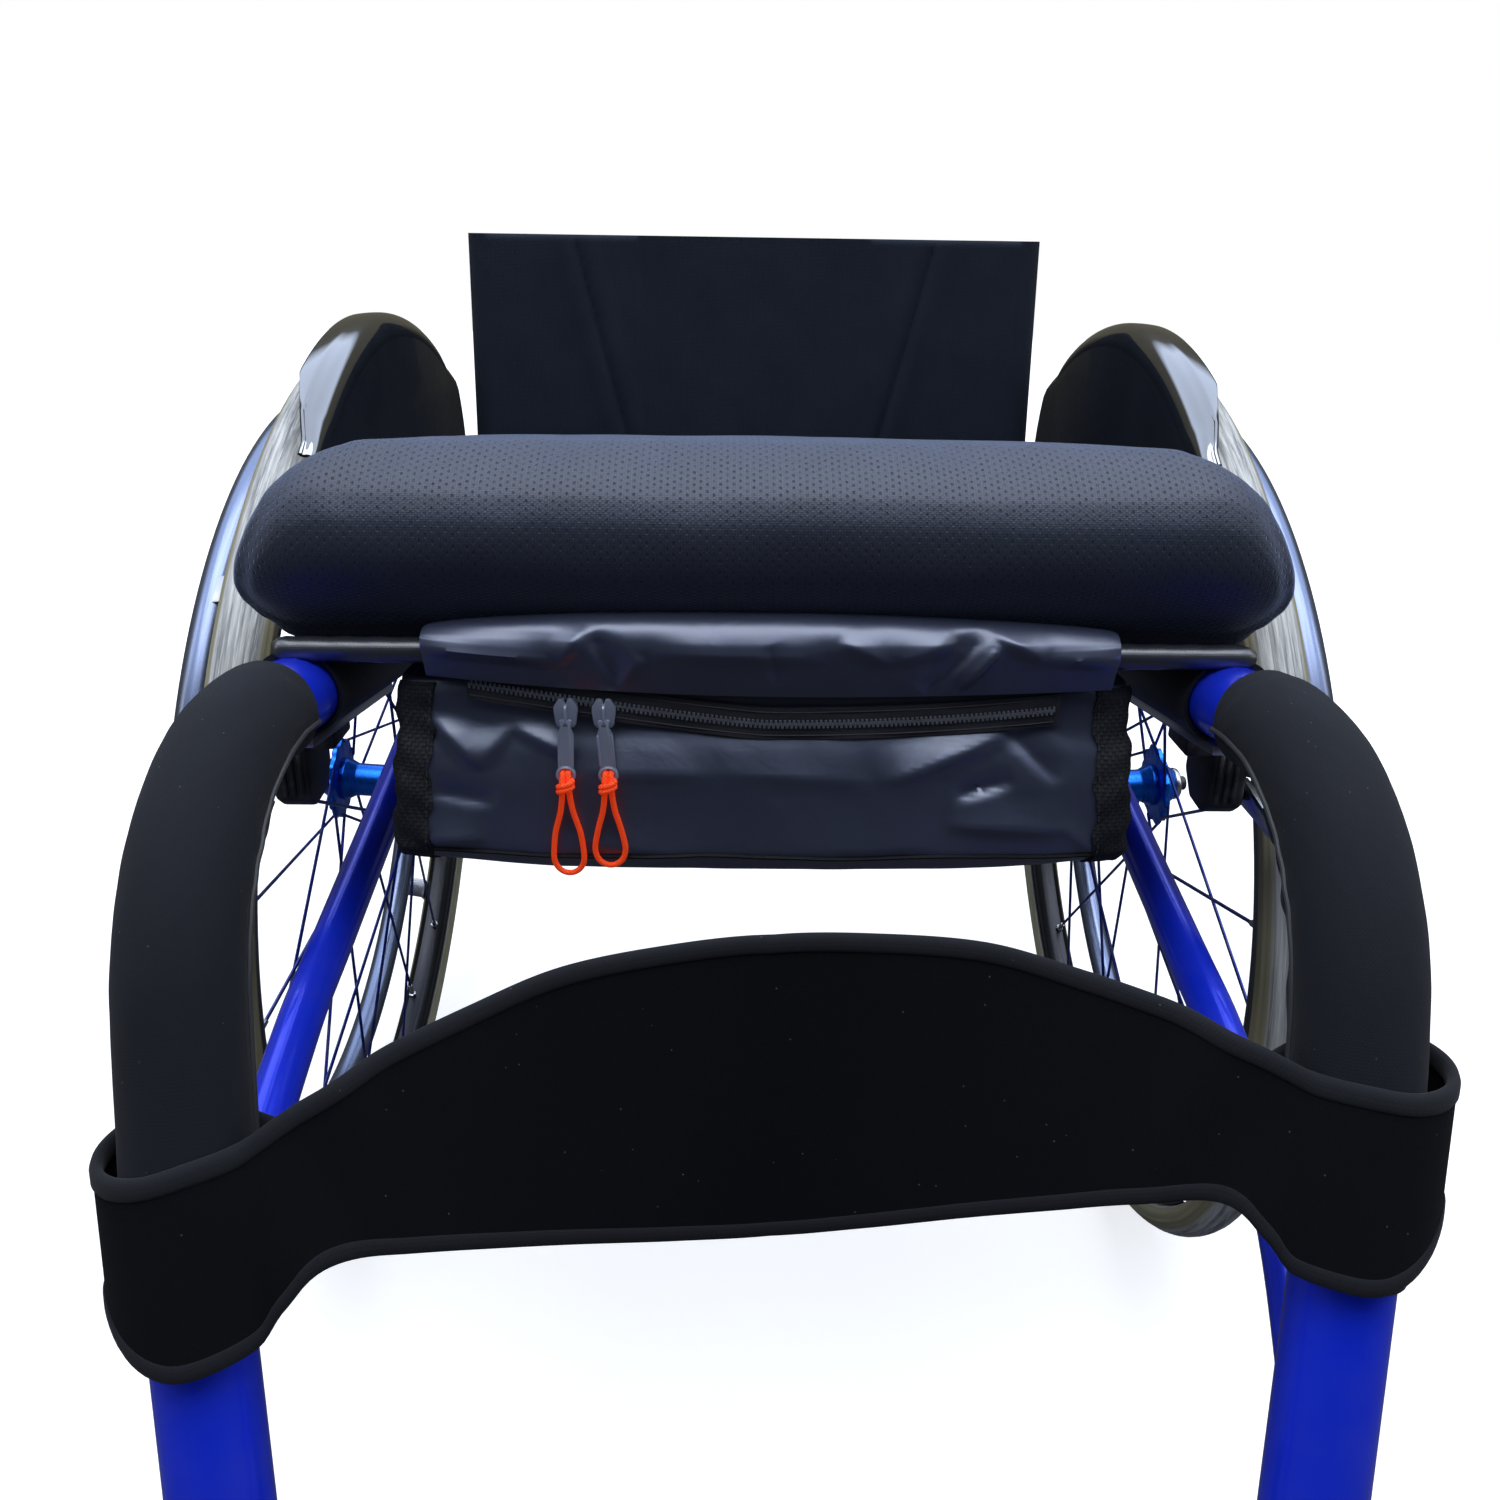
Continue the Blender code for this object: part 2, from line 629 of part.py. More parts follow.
def cushion():
    """Seat pad lying on the sling along the slope of the rails."""
    middle_y = (CUSHION_FRONT + CUSHION_BACK) / 2
    slope = math.atan(RAIL_RISE)
    depth = (CUSHION_BACK - CUSHION_FRONT) / math.cos(slope)
    base = rail_z(middle_y) + (CLAMP_R + 0.5 * MM) / math.cos(slope)
    place = Matrix.Translation(at_axle((0, middle_y, base))) @ Matrix.Rotation(-slope, 4, "X") @ \
        Matrix.Translation(Vector((0, 0, CUSHION_HIGH / 2)))
    body = soft_box("seat_cushion", CUSHION_HALF, depth, CUSHION_HIGH, (10, 8, 1), 30 * MM, 4 * MM,
                    place)
    cut(body, bar("hem_room", at_axle((-240 * MM, SEAT_FRONT + MM, rail_z(SEAT_FRONT) + 23 * MM)),
                  at_axle((240 * MM, SEAT_FRONT + MM, rail_z(SEAT_FRONT) + 23 * MM)), 9.5 * MM, 12))
    finish(body, NAVY, 0, 0.9)


def cane_y(z):
    return PIVOT_Y + RECLINE * (z - PIVOT_Z)


def back_hinge(side):
    """Clamp on the rear of the rail with the plate and pin that the backrest turns on."""
    low_y = 130 * MM
    z = rail_z(low_y)
    eye = 13 * MM
    outline = [(low_y - 15 * MM, z), (low_y - 6 * MM, z + 40 * MM)]
    for i in range(9):
        t = math.pi * i / 8
        outline.append((PIVOT_Y - eye * math.cos(t), PIVOT_Z + eye * math.sin(t)))
    outline.append((low_y + 15 * MM, z))
    body = plate(named(side, "back_hinge"), [(y + AXLE_Y, h) for y, h in outline],
                 side * 206 * MM, side * 214 * MM)
    half = 15 * MM
    back = Vector((side * RAIL_X, low_y + half, rail_z(low_y + half)))
    front = Vector((side * RAIL_X, low_y - half, rail_z(low_y - half)))
    along = (back - front) * 2
    pin_in = (side * 181 * MM, PIVOT_Y, PIVOT_Z)
    pin_out = (side * 217 * MM, PIVOT_Y, PIVOT_Z)
    join(body, bar("clamp", at_axle(back), at_axle(front), CLAMP_R, 20),
         bar("pin", at_axle(pin_in), at_axle(pin_out), 5 * MM, 16))
    cut(body, bar("bore", at_axle(back + along), at_axle(front - along), TUBE_R + GAP, 18))
    finish(body, BLACK, 0.3, 0.4)


def back_frame():
    """Both back canes and the bowed bar between them, with its origin on the fold axis."""
    canes = []
    for side in (1, -1):
        foot = (side * CANE_X, PIVOT_Y, PIVOT_Z)
        top_z = BACK_TOP_Z - 5 * MM
        canes.append(bar("cane", foot, (side * CANE_X, cane_y(top_z), top_z), CANE_R, 16))
        canes.append(bar("eye", (side * 178.5 * MM, PIVOT_Y, PIVOT_Z),
                         (side * 205.6 * MM, PIVOT_Y, PIVOT_Z), 13 * MM, 20))
    bow = []
    for i in range(9):
        u = -1 + i / 4
        bow.append((u * 182 * MM, PIVOT_Y + 34 * MM * (1 - u * u), PIVOT_Z))
    body = tube("back_frame", bow, 8 * MM, 12)
    join(body, *canes)
    for side in (1, -1):
        cut(body, bar("bore", (side * 175 * MM, PIVOT_Y, PIVOT_Z), (side * 210 * MM, PIVOT_Y, PIVOT_Z),
                      5.4 * MM, 16))
    axis = Vector((0, PIVOT_Y, PIVOT_Z))
    body.data.transform(Matrix.Translation(-axis))
    body.location = at_axle(axis)
    finish(body, BLACK, 0.4, 0.4)


def back_upholstery():
    """Padded cloth stretched between the canes and wrapped round them, hanging lower in the middle."""
    inner = CANE_R + GAP
    wrap = inner + CLOTH
    pad = 8 * MM
    outside = []
    inside = []
    for u in (0, 0.35, 0.7):
        bow = 9 * MM * (1 - u * u)
        outside.append((u * CANE_X, -inner - pad + bow))
        inside.append((u * CANE_X, -inner + bow))
    for i in range(9):
        t = math.radians(-90 + 22.5 * i)
        front = max(0.0, -math.sin(t))
        radius = wrap + (pad - CLOTH) * front * front
        outside.append((CANE_X + radius * math.cos(t), radius * math.sin(t)))
        inside.append((CANE_X + inner * math.cos(t), inner * math.sin(t)))
    outside.append((CANE_X - 26 * MM, wrap))
    inside.append((CANE_X - 26 * MM, inner))
    ring = outside + list(reversed(inside)) + [(-x, y) for x, y in inside[1:]] + \
        [(-x, y) for x, y in reversed(outside[1:])]
    rings = []
    for z in (BACK_BOTTOM_Z, (BACK_BOTTOM_Z + BACK_TOP_Z) / 2, BACK_TOP_Z):
        rings.append([at_axle((x, cane_y(z) + y, z)) for x, y in ring])
    body = skin("back_upholstery", rings)
    low_z = 458 * MM
    low = []
    for z in (low_z, BACK_BOTTOM_Z + 5 * MM):
        half = 150 * MM if z == low_z else 168 * MM
        row = []
        for u in (-1, -0.5, 0, 0.5, 1):
            row.append((u * half, -inner - pad + 1.2 * MM + 9 * MM * (1 - u * u)))
        back_row = [(x, y + pad - 2.4 * MM) for x, y in reversed(row)]
        low.append([at_axle((x, cane_y(z) + y, z)) for x, y in row + back_row])
    join(body, skin("lower", low))
    finish(body, CLOTH_BLACK, 0, 0.9)


def round_axle(angle, radius):
    """(y, z) of a point at an angle in degrees and a radius about the axle, 0 being straight up."""
    t = math.radians(angle)
    return radius * math.sin(t), AXLE_Z + radius * math.cos(t)


def guard_angles():
    return [GUARD_FRONT + (GUARD_REAR - GUARD_FRONT) * i / GUARD_STEPS for i in range(GUARD_STEPS + 1)]


def guard_fold(side):
    """Rounded fold and flange along the top edge of the guard, narrower at both ends."""
    base = GUARD_R - GUARD_FOLD - 2 * MM
    rings = []
    for angle in guard_angles():
        past = max(0.0, abs(angle) - GUARD_FULL)
        width = max(GUARD_NARROW, GUARD_WIDE - GUARD_TAPER * past)
        fold = min(GUARD_FOLD, width - MM)
        outer = [(0, base)]
        inner = [(GUARD_THICK, base)]
        for bend in (0, 45, 90):
            across = math.cos(math.radians(bend))
            up = math.sin(math.radians(bend))
            thin = fold - GUARD_THICK
            outer.append((fold - fold * across, GUARD_R - fold + fold * up))
            inner.append((fold - thin * across, GUARD_R - fold + thin * up))
        outer.append((width, GUARD_R))
        inner.append((width, GUARD_R - GUARD_THICK))
        ring = []
        for x, radius in outer + list(reversed(inner)):
            y, z = round_axle(angle, radius)
            ring.append(at_axle((side * (GUARD_X + x), y, z)))
        rings.append(ring)
    return skin("flange", rings)


def side_guard(side):
    """Thin panel inside the wheel with a fold and flange over the tyre, and its two screws."""
    tip = GUARD_R - 1.5 * MM
    outline = [(-170 * MM, rail_z(-170 * MM) - 6 * MM), (-180 * MM, 500 * MM), (-180 * MM, 535 * MM),
               round_axle(GUARD_FRONT, tip)]
    outline += [round_axle(angle, GUARD_R - GUARD_FOLD) for angle in guard_angles()]
    outline += [round_axle(GUARD_REAR, tip), (181 * MM, 548 * MM), (186 * MM, 530 * MM),
                (194 * MM, 500 * MM), (196 * MM, 470 * MM), (180 * MM, rail_z(150 * MM) + 6 * MM),
                (105 * MM, rail_z(105 * MM) - 6 * MM)]
    body = plate(named(side, "side_guard"), [(y + AXLE_Y, z) for y, z in outline],
                 side * GUARD_X, side * (GUARD_X + GUARD_THICK))
    screws = []
    for y in (78 * MM, -140 * MM):
        z = rail_z(y) + 2 * MM
        screws.append(bar("screw", at_axle((side * 225.6 * MM, y, z)), at_axle((side * 229 * MM, y, z)),
                          6 * MM, 10))
    join(body, guard_fold(side), *screws)
    finish(body, BLACK, 0.1, 0.12)


def sleeve(side):
    """Soft sleeve over the bend of the main tube, thinner at its ends."""
    path = [at_axle(p) for p in knee_points(side)]
    count = len(path)
    outer = []
    for i in range(count):
        outer.append(TUBE_R + GAP + SLEEVE_WALL * (0.5 if i in (0, count - 1) else 1.0))
    whole = frame_path(side)
    around = frames(whole)[1:-1]
    rings = []
    for radii, order in ((outer, 1), ([TUBE_R + GAP] * count, -1)):
        rows = []
        for (point, across, up), radius in zip(around, radii):
            turn = [2 * math.pi * (k + 0.5) / TUBE_STEPS for k in range(TUBE_STEPS)]
            rows.append([point + (up * math.cos(t) + across * math.sin(t)) * radius for t in turn])
        rings += rows[::order]
    body = skin(named(side, "knee_sleeve"), rings, closed=True)
    finish(body, CLOTH_BLACK, 0, 0.9)


def strap_rows():
    """(x, y, low z, high z) along the strap's left half, from its middle round the leg."""
    inner = 23 * MM
    shape = ((0, 0, 332, 438), (35, 2, 335, 436), (70, 9, 342, 433), (100, 19, 350, 426),
             (125, 30, 358, 420), (148, 42, 364, 412), (160, 46, 356, 407), (170, 48, 346, 403))
    half = []
    for x, drop, low, high in shape:
        half.append((x * MM, -463 * MM - drop * MM, low * MM, high * MM))
    deep = inner * 1.115
    leg = leg_at(1, STRAP_Z)
    for i in range(10):
        t = math.radians(-112 + 26 * i)
        low = (345 + min(13, 1.6 * i * i)) * MM
        half.append((leg.x + inner * math.cos(t), leg.y + deep * math.sin(t), low, (403 - 1.2 * i) * MM))
    half.append((leg.x - 37 * MM, leg.y + 6 * MM, 358 * MM, 392 * MM))
    half.append((leg.x - 50 * MM, leg.y - 2 * MM, 362 * MM, 389 * MM))
    return half


def calf_strap():
    """Wide band behind the calves, hooked round both legs, a little lower on the right."""
    half = strap_rows()
    whole = [(-x, y, low, high) for x, y, low, high in reversed(half[1:])] + half
    rings = []
    for i, (x, y, low, high) in enumerate(whole):
        before = whole[max(i - 1, 0)]
        after = whole[min(i + 1, len(whole) - 1)]
        along = Vector((after[0] - before[0], after[1] - before[1], 0)).normalized()
        out = Vector((along.y, -along.x, 0))
        near = min(1.0, abs(x) / (150 * MM))
        lean = 0.25 + (LEG_LEAN - 0.25) * near
        spread = LEG_TAPER * near * (1 if x > 0 else -1)
        inner_row = []
        outer_row = []
        for z in (low, (low + high) / 2, high):
            level = z + STRAP_TILT * x - STRAP_Z
            spot = Vector((x + spread * level, y + lean * level, STRAP_Z + level))
            inner_row.append(at_axle(spot))
            outer_row.append(at_axle(spot + out * STRAP_THICK))
        rings.append(inner_row + list(reversed(outer_row)))
    body = skin("calf_strap", rings)
    finish(body, CLOTH_BLACK, 0, 0.9)


def bag():
    """Pouch under the front of the seat."""
    section = [(-306, 484), (-308.5, 477), (-308.5, 460), (-312, 430), (-309, 404), (-300, 393),
               (-262, 389), (-230, 392), (-222, 404), (-224, 440), (-232, 472), (-262, 479)]
    rings = []
    for u in (-1, -0.92, -0.5, 0, 0.5, 0.92, 1):
        row = []
        for y, z in section:
            half = 160 * MM + (480 * MM - z * MM) * 0.08
            squeeze = 0.9 if abs(u) == 1 else 1.0
            deep = (-265 + (y + 265) * squeeze) * MM
            low = 3 * MM * (1 - u * u) if z < 410 else 0
            row.append(at_axle((u * half, deep, z * MM - low)))
        rings.append(row)
    body = skin("bag_body", rings)
    finish(body, BAG_BLUE, 0, 0.5)


def bag_flap():
    """Flap over the front hem of the sling, holding the pouch."""
    centre_y = SEAT_FRONT + MM
    centre_z = rail_z(SEAT_FRONT) + TUBE_R + GAP + BEAD_R
    near = BEAD_R + GAP
    far = near + 2 * MM
    under = [(-313.2 * MM, 476 * MM)]
    over = [(-315.4 * MM, 476 * MM)]
    for i in range(8):
        t = math.radians(180 - 17 * i)
        under.append((centre_y + near * math.cos(t), centre_z + near * math.sin(t)))
        over.append((centre_y + far * math.cos(t), centre_z + far * math.sin(t)))
    ring = under + list(reversed(over))
    rings = [[at_axle((x * MM, y, z)) for y, z in ring] for x in (-142, 0, 148)]
    finish(skin("bag_flap", rings), BAG_BLUE, 0, 0.5)


def zip_row():
    """Zip tape across the front of the bag, with the raised row of teeth."""
    tape = block("zip", at_axle((-125 * MM, ZIP_Y - 1.8 * MM, ZIP_Z - 7 * MM)),
                 at_axle((129 * MM, ZIP_Y, ZIP_Z + 7 * MM)))
    teeth = block("teeth", at_axle((-124 * MM, ZIP_Y - 3.2 * MM, ZIP_Z - 2.5 * MM)),
                  at_axle((128 * MM, ZIP_Y - 1.2 * MM, ZIP_Z + 2.5 * MM)))
    join(tape, teeth)
    finish(tape, BLACK, 0, 0.6)


def zip_slider(index):
    """Slider body on the teeth, its pull tab and the cord loop through the tab."""
    x, tilt = SLIDERS[index]
    word = ("first", "second")[index]
    face = ZIP_Y - 3.5 * MM
    front = face - 3 * MM
    home = at_axle((x, face, ZIP_Z))
    points = [(-4.5, -6), (4.5, -6), (5.5, 3), (3, 7), (-3, 7), (-5.5, 3)]
    body = skin("zip_slider_" + word, [[(u * MM, 0, w * MM) for u, w in points],
                                       [(u * 0.8 * MM, -3 * MM, w * 0.8 * MM) for u, w in points]])
    body.location = home
    finish(body, SILVER, 0.9, 0.35)
    tab_y = front - GAP
    turn = Matrix.Rotation(tilt, 4, "Y")
    hinge = at_axle((x, tab_y - 0.8 * MM, ZIP_Z + 2 * MM))
    outline = [(-2.5, 0.6), (2.5, 0.6), (3.6, -6), (3.6, -26), (2, -29), (-2, -29), (-3.6, -26),
               (-3.6, -6)]
    tab = skin("zip_pull_" + word, [[turn @ Vector((u * MM, y * MM, w * MM)) for u, w in outline]
                                    for y in (0.8, -0.8)])
    hole = turn @ Vector((0, 0, -24.5 * MM))
    cut(tab, bar("hole", hole + Vector((0, -3 * MM, 0)), hole + Vector((0, 3 * MM, 0)), 2.1 * MM, 10))
    tab.location = hinge
    finish(tab, SILVER, 0.9, 0.35)
    cord_loop(word, hinge + hole, index)


def cord_loop(word, top, index):
    """One loop of thin cord hanging from the hole of a pull tab."""
    wide = 6.8
    length = 48.5 if index == 0 else 44.5
    half = [(0.0, -2.9, -1.2), (-0.5, -3.3, -6), (-1.0, -3.2, -11), (-2.4, -2.6, -17),
            (-4.2, -2.0, -23), (-5.8, -1.5, -29), (-wide, -1.0, 6 - length + 3),
            (-wide + 1.0, -0.5, 4 - length), (-3.2, -0.2, 1 - length), (0.0, 0.0, -length)]
    back = [(-u, -v * 0.85, w) for u, v, w in reversed(half[:-1])]
    middle = (0.0, 0.0, 0.6)
    points = [middle] + half + back
    curve = bpy.data.curves.new("cord_loop_" + word, "CURVE")
    curve.dimensions = "3D"
    curve.bevel_depth = 1.3 * MM
    curve.bevel_resolution = 2
    curve.use_fill_caps = True
    spline = curve.splines.new("POLY")
    spline.points.add(len(points) - 1)
    for spot, (u, v, w) in zip(spline.points, points):
        spot.co = (u * MM, v * MM, w * MM, 1)
    spline.use_cyclic_u = True
    cord = bpy.data.objects.new("cord_loop_" + word, curve)
    bpy.context.scene.collection.objects.link(cord)
    cord.location = top
    curve.materials.append(material(cord.name + "_paint", ORANGE, 0, 0.7))


def wheel_lock(side):
    """Fixed body under the rail, hand lever and the shoe that meets the tyre."""
    rail = []
    for y in (-322 * MM, -190 * MM):
        z = rail_z(y) - TUBE_R - 0.8 * MM
        rail += [(y, z)]
    low = [(y, z - 5 * MM) for y, z in reversed(rail)]
    body = plate(named(side, "lock_body"), [(y + AXLE_Y, z) for y, z in rail + low],
                 side * 195 * MM, side * 211 * MM)
    house = block("house", at_axle((min(side * 200, side * 232) * MM, LOCK_Y - 19 * MM, 406 * MM)),
                  at_axle((max(side * 200, side * 232) * MM, LOCK_Y + 17 * MM, 450 * MM)))
    join(body, house,
         bar("lever_pin", at_axle((side * 231 * MM, LOCK_Y, LEVER_Z)),
             at_axle((side * 236.8 * MM, LOCK_Y, LEVER_Z)), 4 * MM, 12),
         bar("shoe_pin", at_axle((side * 231 * MM, LOCK_Y, SHOE_Z)),
             at_axle((side * 240.8 * MM, LOCK_Y, SHOE_Z)), 4 * MM, 12))
    finish(body, BLACK, 0.4, 0.4)
    lift = math.radians(16)
    ahead = Vector((0, -math.cos(lift), math.sin(lift)))
    up = Vector((0, math.sin(lift), math.cos(lift)))
    outline = []
    for along, across in ((-7, -4), (-4, -7), (10, -6.5), (75, -5), (75, 5), (10, 6.5), (-4, 7), (-7, 4)):
        spot = ahead * along * MM + up * across * MM
        outline.append((spot.y, spot.z))
    lever = plate(named(side, "lock_lever"), outline, side * 232.5 * MM, side * 236.2 * MM)
    shift = Vector((side * 234.4 * MM, 0, 0))
    cut(lever, bar("hole", (side * 228 * MM, 0, 0), (side * 240 * MM, 0, 0), 4.4 * MM, 12))
    join(lever, bar("grip", shift + ahead * 66 * MM, shift + ahead * 112 * MM, 7.5 * MM, 14))
    lever.data.transform(Matrix.Translation((-shift.x, 0, 0)))
    lever.location = at_axle((shift.x, LOCK_Y, LEVER_Z))
    finish(lever, BLACK, 0.1, 0.5)
    drop = math.radians(-5)
    reach = Vector((0, -math.cos(drop), math.sin(drop)))
    over = Vector((0, math.sin(drop), math.cos(drop)))
    sides = []
    for along, across in ((-6, -3), (-3, -6.5), (38, -4), (43, 0), (38, 4), (-3, 6.5), (-6, 3)):
        spot = reach * along * MM + over * across * MM
        sides.append((spot.y, spot.z))
    arm = plate(named(side, "lock_shoe"), sides, side * 237.2 * MM, side * 240.6 * MM)
    cut(arm, bar("hole", (side * 230 * MM, 0, 0), (side * 245 * MM, 0, 0), 4.4 * MM, 12))
    tip = reach * SHOE_ARM
    join(arm, bar("shoe", tip + Vector((side * 238.5 * MM, 0, 0)), tip + Vector((side * 274 * MM, 0, 0)),
                  6.5 * MM, 14))
    centre = side * 239 * MM
    arm.data.transform(Matrix.Translation((-centre, 0, 0)))
    arm.location = at_axle((centre, LOCK_Y, SHOE_Z))
    finish(arm, SILVER, 0.8, 0.35)


def build():
    axle_tube()
    footrest()
    seat_sling()
    cushion()
    back_frame()
    back_upholstery()
    calf_strap()
    bag()
    bag_flap()
    zip_row()
    for index in range(len(SLIDERS)):
        zip_slider(index)
    for side in (1, -1):
        side_frame(side)
        rail_plug(side)
        upright(side)
        back_hinge(side)
        side_guard(side)
        sleeve(side)
        wheel_lock(side)
        hub(side)
        rim(side)
        tyre(side)
        handrim(side)
        axle_pin(side)
        axle_button(side)
        castor(side)


build()
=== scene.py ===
from math import atan, atan2, copysign, cos, dist, exp, hypot, pi, radians, sin, tan
import bpy
from mathutils import Matrix, Vector


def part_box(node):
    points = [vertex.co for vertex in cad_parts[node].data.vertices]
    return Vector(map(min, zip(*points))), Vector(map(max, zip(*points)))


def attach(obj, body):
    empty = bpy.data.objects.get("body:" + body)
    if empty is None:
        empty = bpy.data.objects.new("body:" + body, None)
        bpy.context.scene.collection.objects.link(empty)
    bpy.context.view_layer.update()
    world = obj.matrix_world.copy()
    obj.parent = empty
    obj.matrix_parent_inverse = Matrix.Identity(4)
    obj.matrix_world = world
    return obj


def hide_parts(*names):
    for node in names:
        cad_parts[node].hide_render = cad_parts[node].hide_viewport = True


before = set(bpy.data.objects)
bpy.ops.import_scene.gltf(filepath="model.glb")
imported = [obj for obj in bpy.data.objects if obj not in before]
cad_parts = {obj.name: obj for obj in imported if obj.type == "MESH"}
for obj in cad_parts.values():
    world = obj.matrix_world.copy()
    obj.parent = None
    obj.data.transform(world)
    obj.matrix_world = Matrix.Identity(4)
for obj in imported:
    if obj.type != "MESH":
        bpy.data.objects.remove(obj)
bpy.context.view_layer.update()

MM = 0.001
GAP = 0.3
SIDES = (1, -1)

# The axle, as the frame holds it
AXLE_Y = 181.9
AXLE_Z = 302.4
WHEEL_X = 265.5
CAMBER = radians(3.7)


# Node helpers

class Nodes:
    """Puts nodes into one tree. A value is a number, a colour or another node's output."""

    def __init__(self, tree):
        self.tree = tree

    def join(self, value, socket):
        if isinstance(value, bpy.types.NodeSocket):
            self.tree.links.new(value, socket)
        else:
            socket.default_value = value

    def add(self, kind, values=None, **settings):
        """A node with its settings, and each named or numbered input given a value."""
        made = self.tree.nodes.new("ShaderNode" + kind)
        for key, value in settings.items():
            setattr(made, key, value)
        for key, value in (values or {}).items():
            self.join(value, made.inputs[key])
        return made

    def use(self, effect, place, **values):
        """The outputs of a shared effect placed in this tree."""
        return self.add("Group", {"Vector": place, **values}, node_tree=effect.tree).outputs

    def maths(self, operation, a, b=0.0, c=0.0):
        return self.add("Math", {0: a, 1: b, 2: c}, operation=operation).outputs[0]

    def times(self, a, b):
        return self.maths("MULTIPLY", a, b)

    def line(self, value, rise, start):
        return self.maths("MULTIPLY_ADD", value, rise, start)

    def span(self, value, low, high, first=0.0, last=1.0, **settings):
        """The first result up to low, the last one from high on, and a slope between them."""
        return self.add("MapRange", {0: value, 1: low, 2: high, 3: first, 4: last}, **settings).outputs[0]

    def mix(self, factor, a, b, kind="MIX"):
        """Colour b over colour a."""
        a, b = (c if isinstance(c, bpy.types.NodeSocket) else (*c, 1) for c in (a, b))
        return self.add("Mix", {0: factor, 6: a, 7: b}, data_type="RGBA", blend_type=kind).outputs[2]

    def noise(self, place, scale, detail, twist=0.0):
        values = {"Vector": place, "Scale": scale, "Detail": detail, "Distortion": twist}
        return self.add("TexNoise", values).outputs[0]

    def split(self, vector):
        return self.add("SeparateXYZ", {0: vector}).outputs

    def light_path(self, kind):
        return self.add("LightPath").outputs[f"Is {kind} Ray"]

    def seen(self):
        """1 for rays that see the background itself, 0 for those that light the object or reflect in it."""
        return self.maths("MAXIMUM", self.light_path("Camera"), self.light_path("Transmission"))

    def object_place(self):
        return self.add("TexCoord").outputs["Object"]

    def cloth_place(self):
        return self.add("UVMap", uv_map="cloth").outputs[0]

    def wheel_place(self):
        return self.add("Attribute", attribute_name="turning").outputs["Vector"]


class Effect(Nodes):
    """A node group. Each has a Vector input, a Colour socket is a colour, and all others are numbers."""

    def __init__(self, name, outputs, **inputs):
        group = bpy.data.node_groups.new(name, "ShaderNodeTree")
        super().__init__(group)
        ends = [("Vector", "INPUT", None)] + [(label, "INPUT", value) for label, value in inputs.items()]
        ends += [(label, "OUTPUT", None) for label in outputs]
        for label, way, value in ends:
            kind = {"Vector": "Vector", "Colour": "Color"}.get(label, "Float")
            socket = group.interface.new_socket(label, in_out=way, socket_type="NodeSocket" + kind)
            if value is not None:
                socket.default_value = value
        self.given = group.nodes.new("NodeGroupInput").outputs
        self.out = group.nodes.new("NodeGroupOutput").inputs

    def ends_in(self, **results):
        for label, value in results.items():
            self.join(value, self.out[label])
        return self


class Finish(Nodes):
    """A Principled material, whose even values sit on the shader's own sockets."""

    def __init__(self, name, colour, roughness, metallic=0.0, **sockets):
        self.material = bpy.data.materials.new(name)
        self.material.use_nodes = True
        super().__init__(self.material.node_tree)
        self.sockets = self.tree.nodes["Principled BSDF"].inputs
        self.feed(Base_Color=(*colour, 1), Roughness=roughness, Metallic=metallic, **sockets)

    def feed(self, **values):
        for key, value in values.items():
            self.join(value, self.sockets[key.replace("_", " ")])

    def wears(self, depth, strength, height, **values):
        """What changes over the surface: a height of so many millimetres, and the named sockets."""
        bumped = self.add("Bump", {"Height": height, "Distance": depth * MM, "Strength": strength})
        self.feed(Normal=bumped.outputs[0], **values)
        return self.material


# Camera and light

def set_camera():
    """The photograph's view: a little above the seat, from the front."""
    lens = bpy.data.cameras.new("view")
    lens.sensor_width = 36
    lens.lens = 30.55
    seen_from = bpy.data.objects.new("view", lens)
    bpy.context.scene.collection.objects.link(seen_from)
    yaw, pitch, roll = (radians(a) for a in (-1.08, 22, -0.88))
    turn = Matrix.Rotation(yaw, 4, "Z") @ Matrix.Rotation(pi / 2 - pitch, 4, "X")
    turn = turn @ Matrix.Rotation(-roll, 4, "Z")
    seen_from.matrix_world = Matrix.Translation((-0.0165, -0.6521, 0.665)) @ turn
    bpy.context.scene.camera = seen_from


def lamp(name, place, target, size, power, colour=(1, 1, 1)):
    light = bpy.data.lights.new(name, "AREA")
    light.shape = "RECTANGLE"
    light.size, light.size_y = size
    light.energy = power
    light.color = colour
    obj = bpy.data.objects.new(name, light)
    bpy.context.scene.collection.objects.link(obj)
    obj.location = place
    obj.rotation_euler = (Vector(target) - Vector(place)).to_track_quat("-Z", "Y").to_euler()


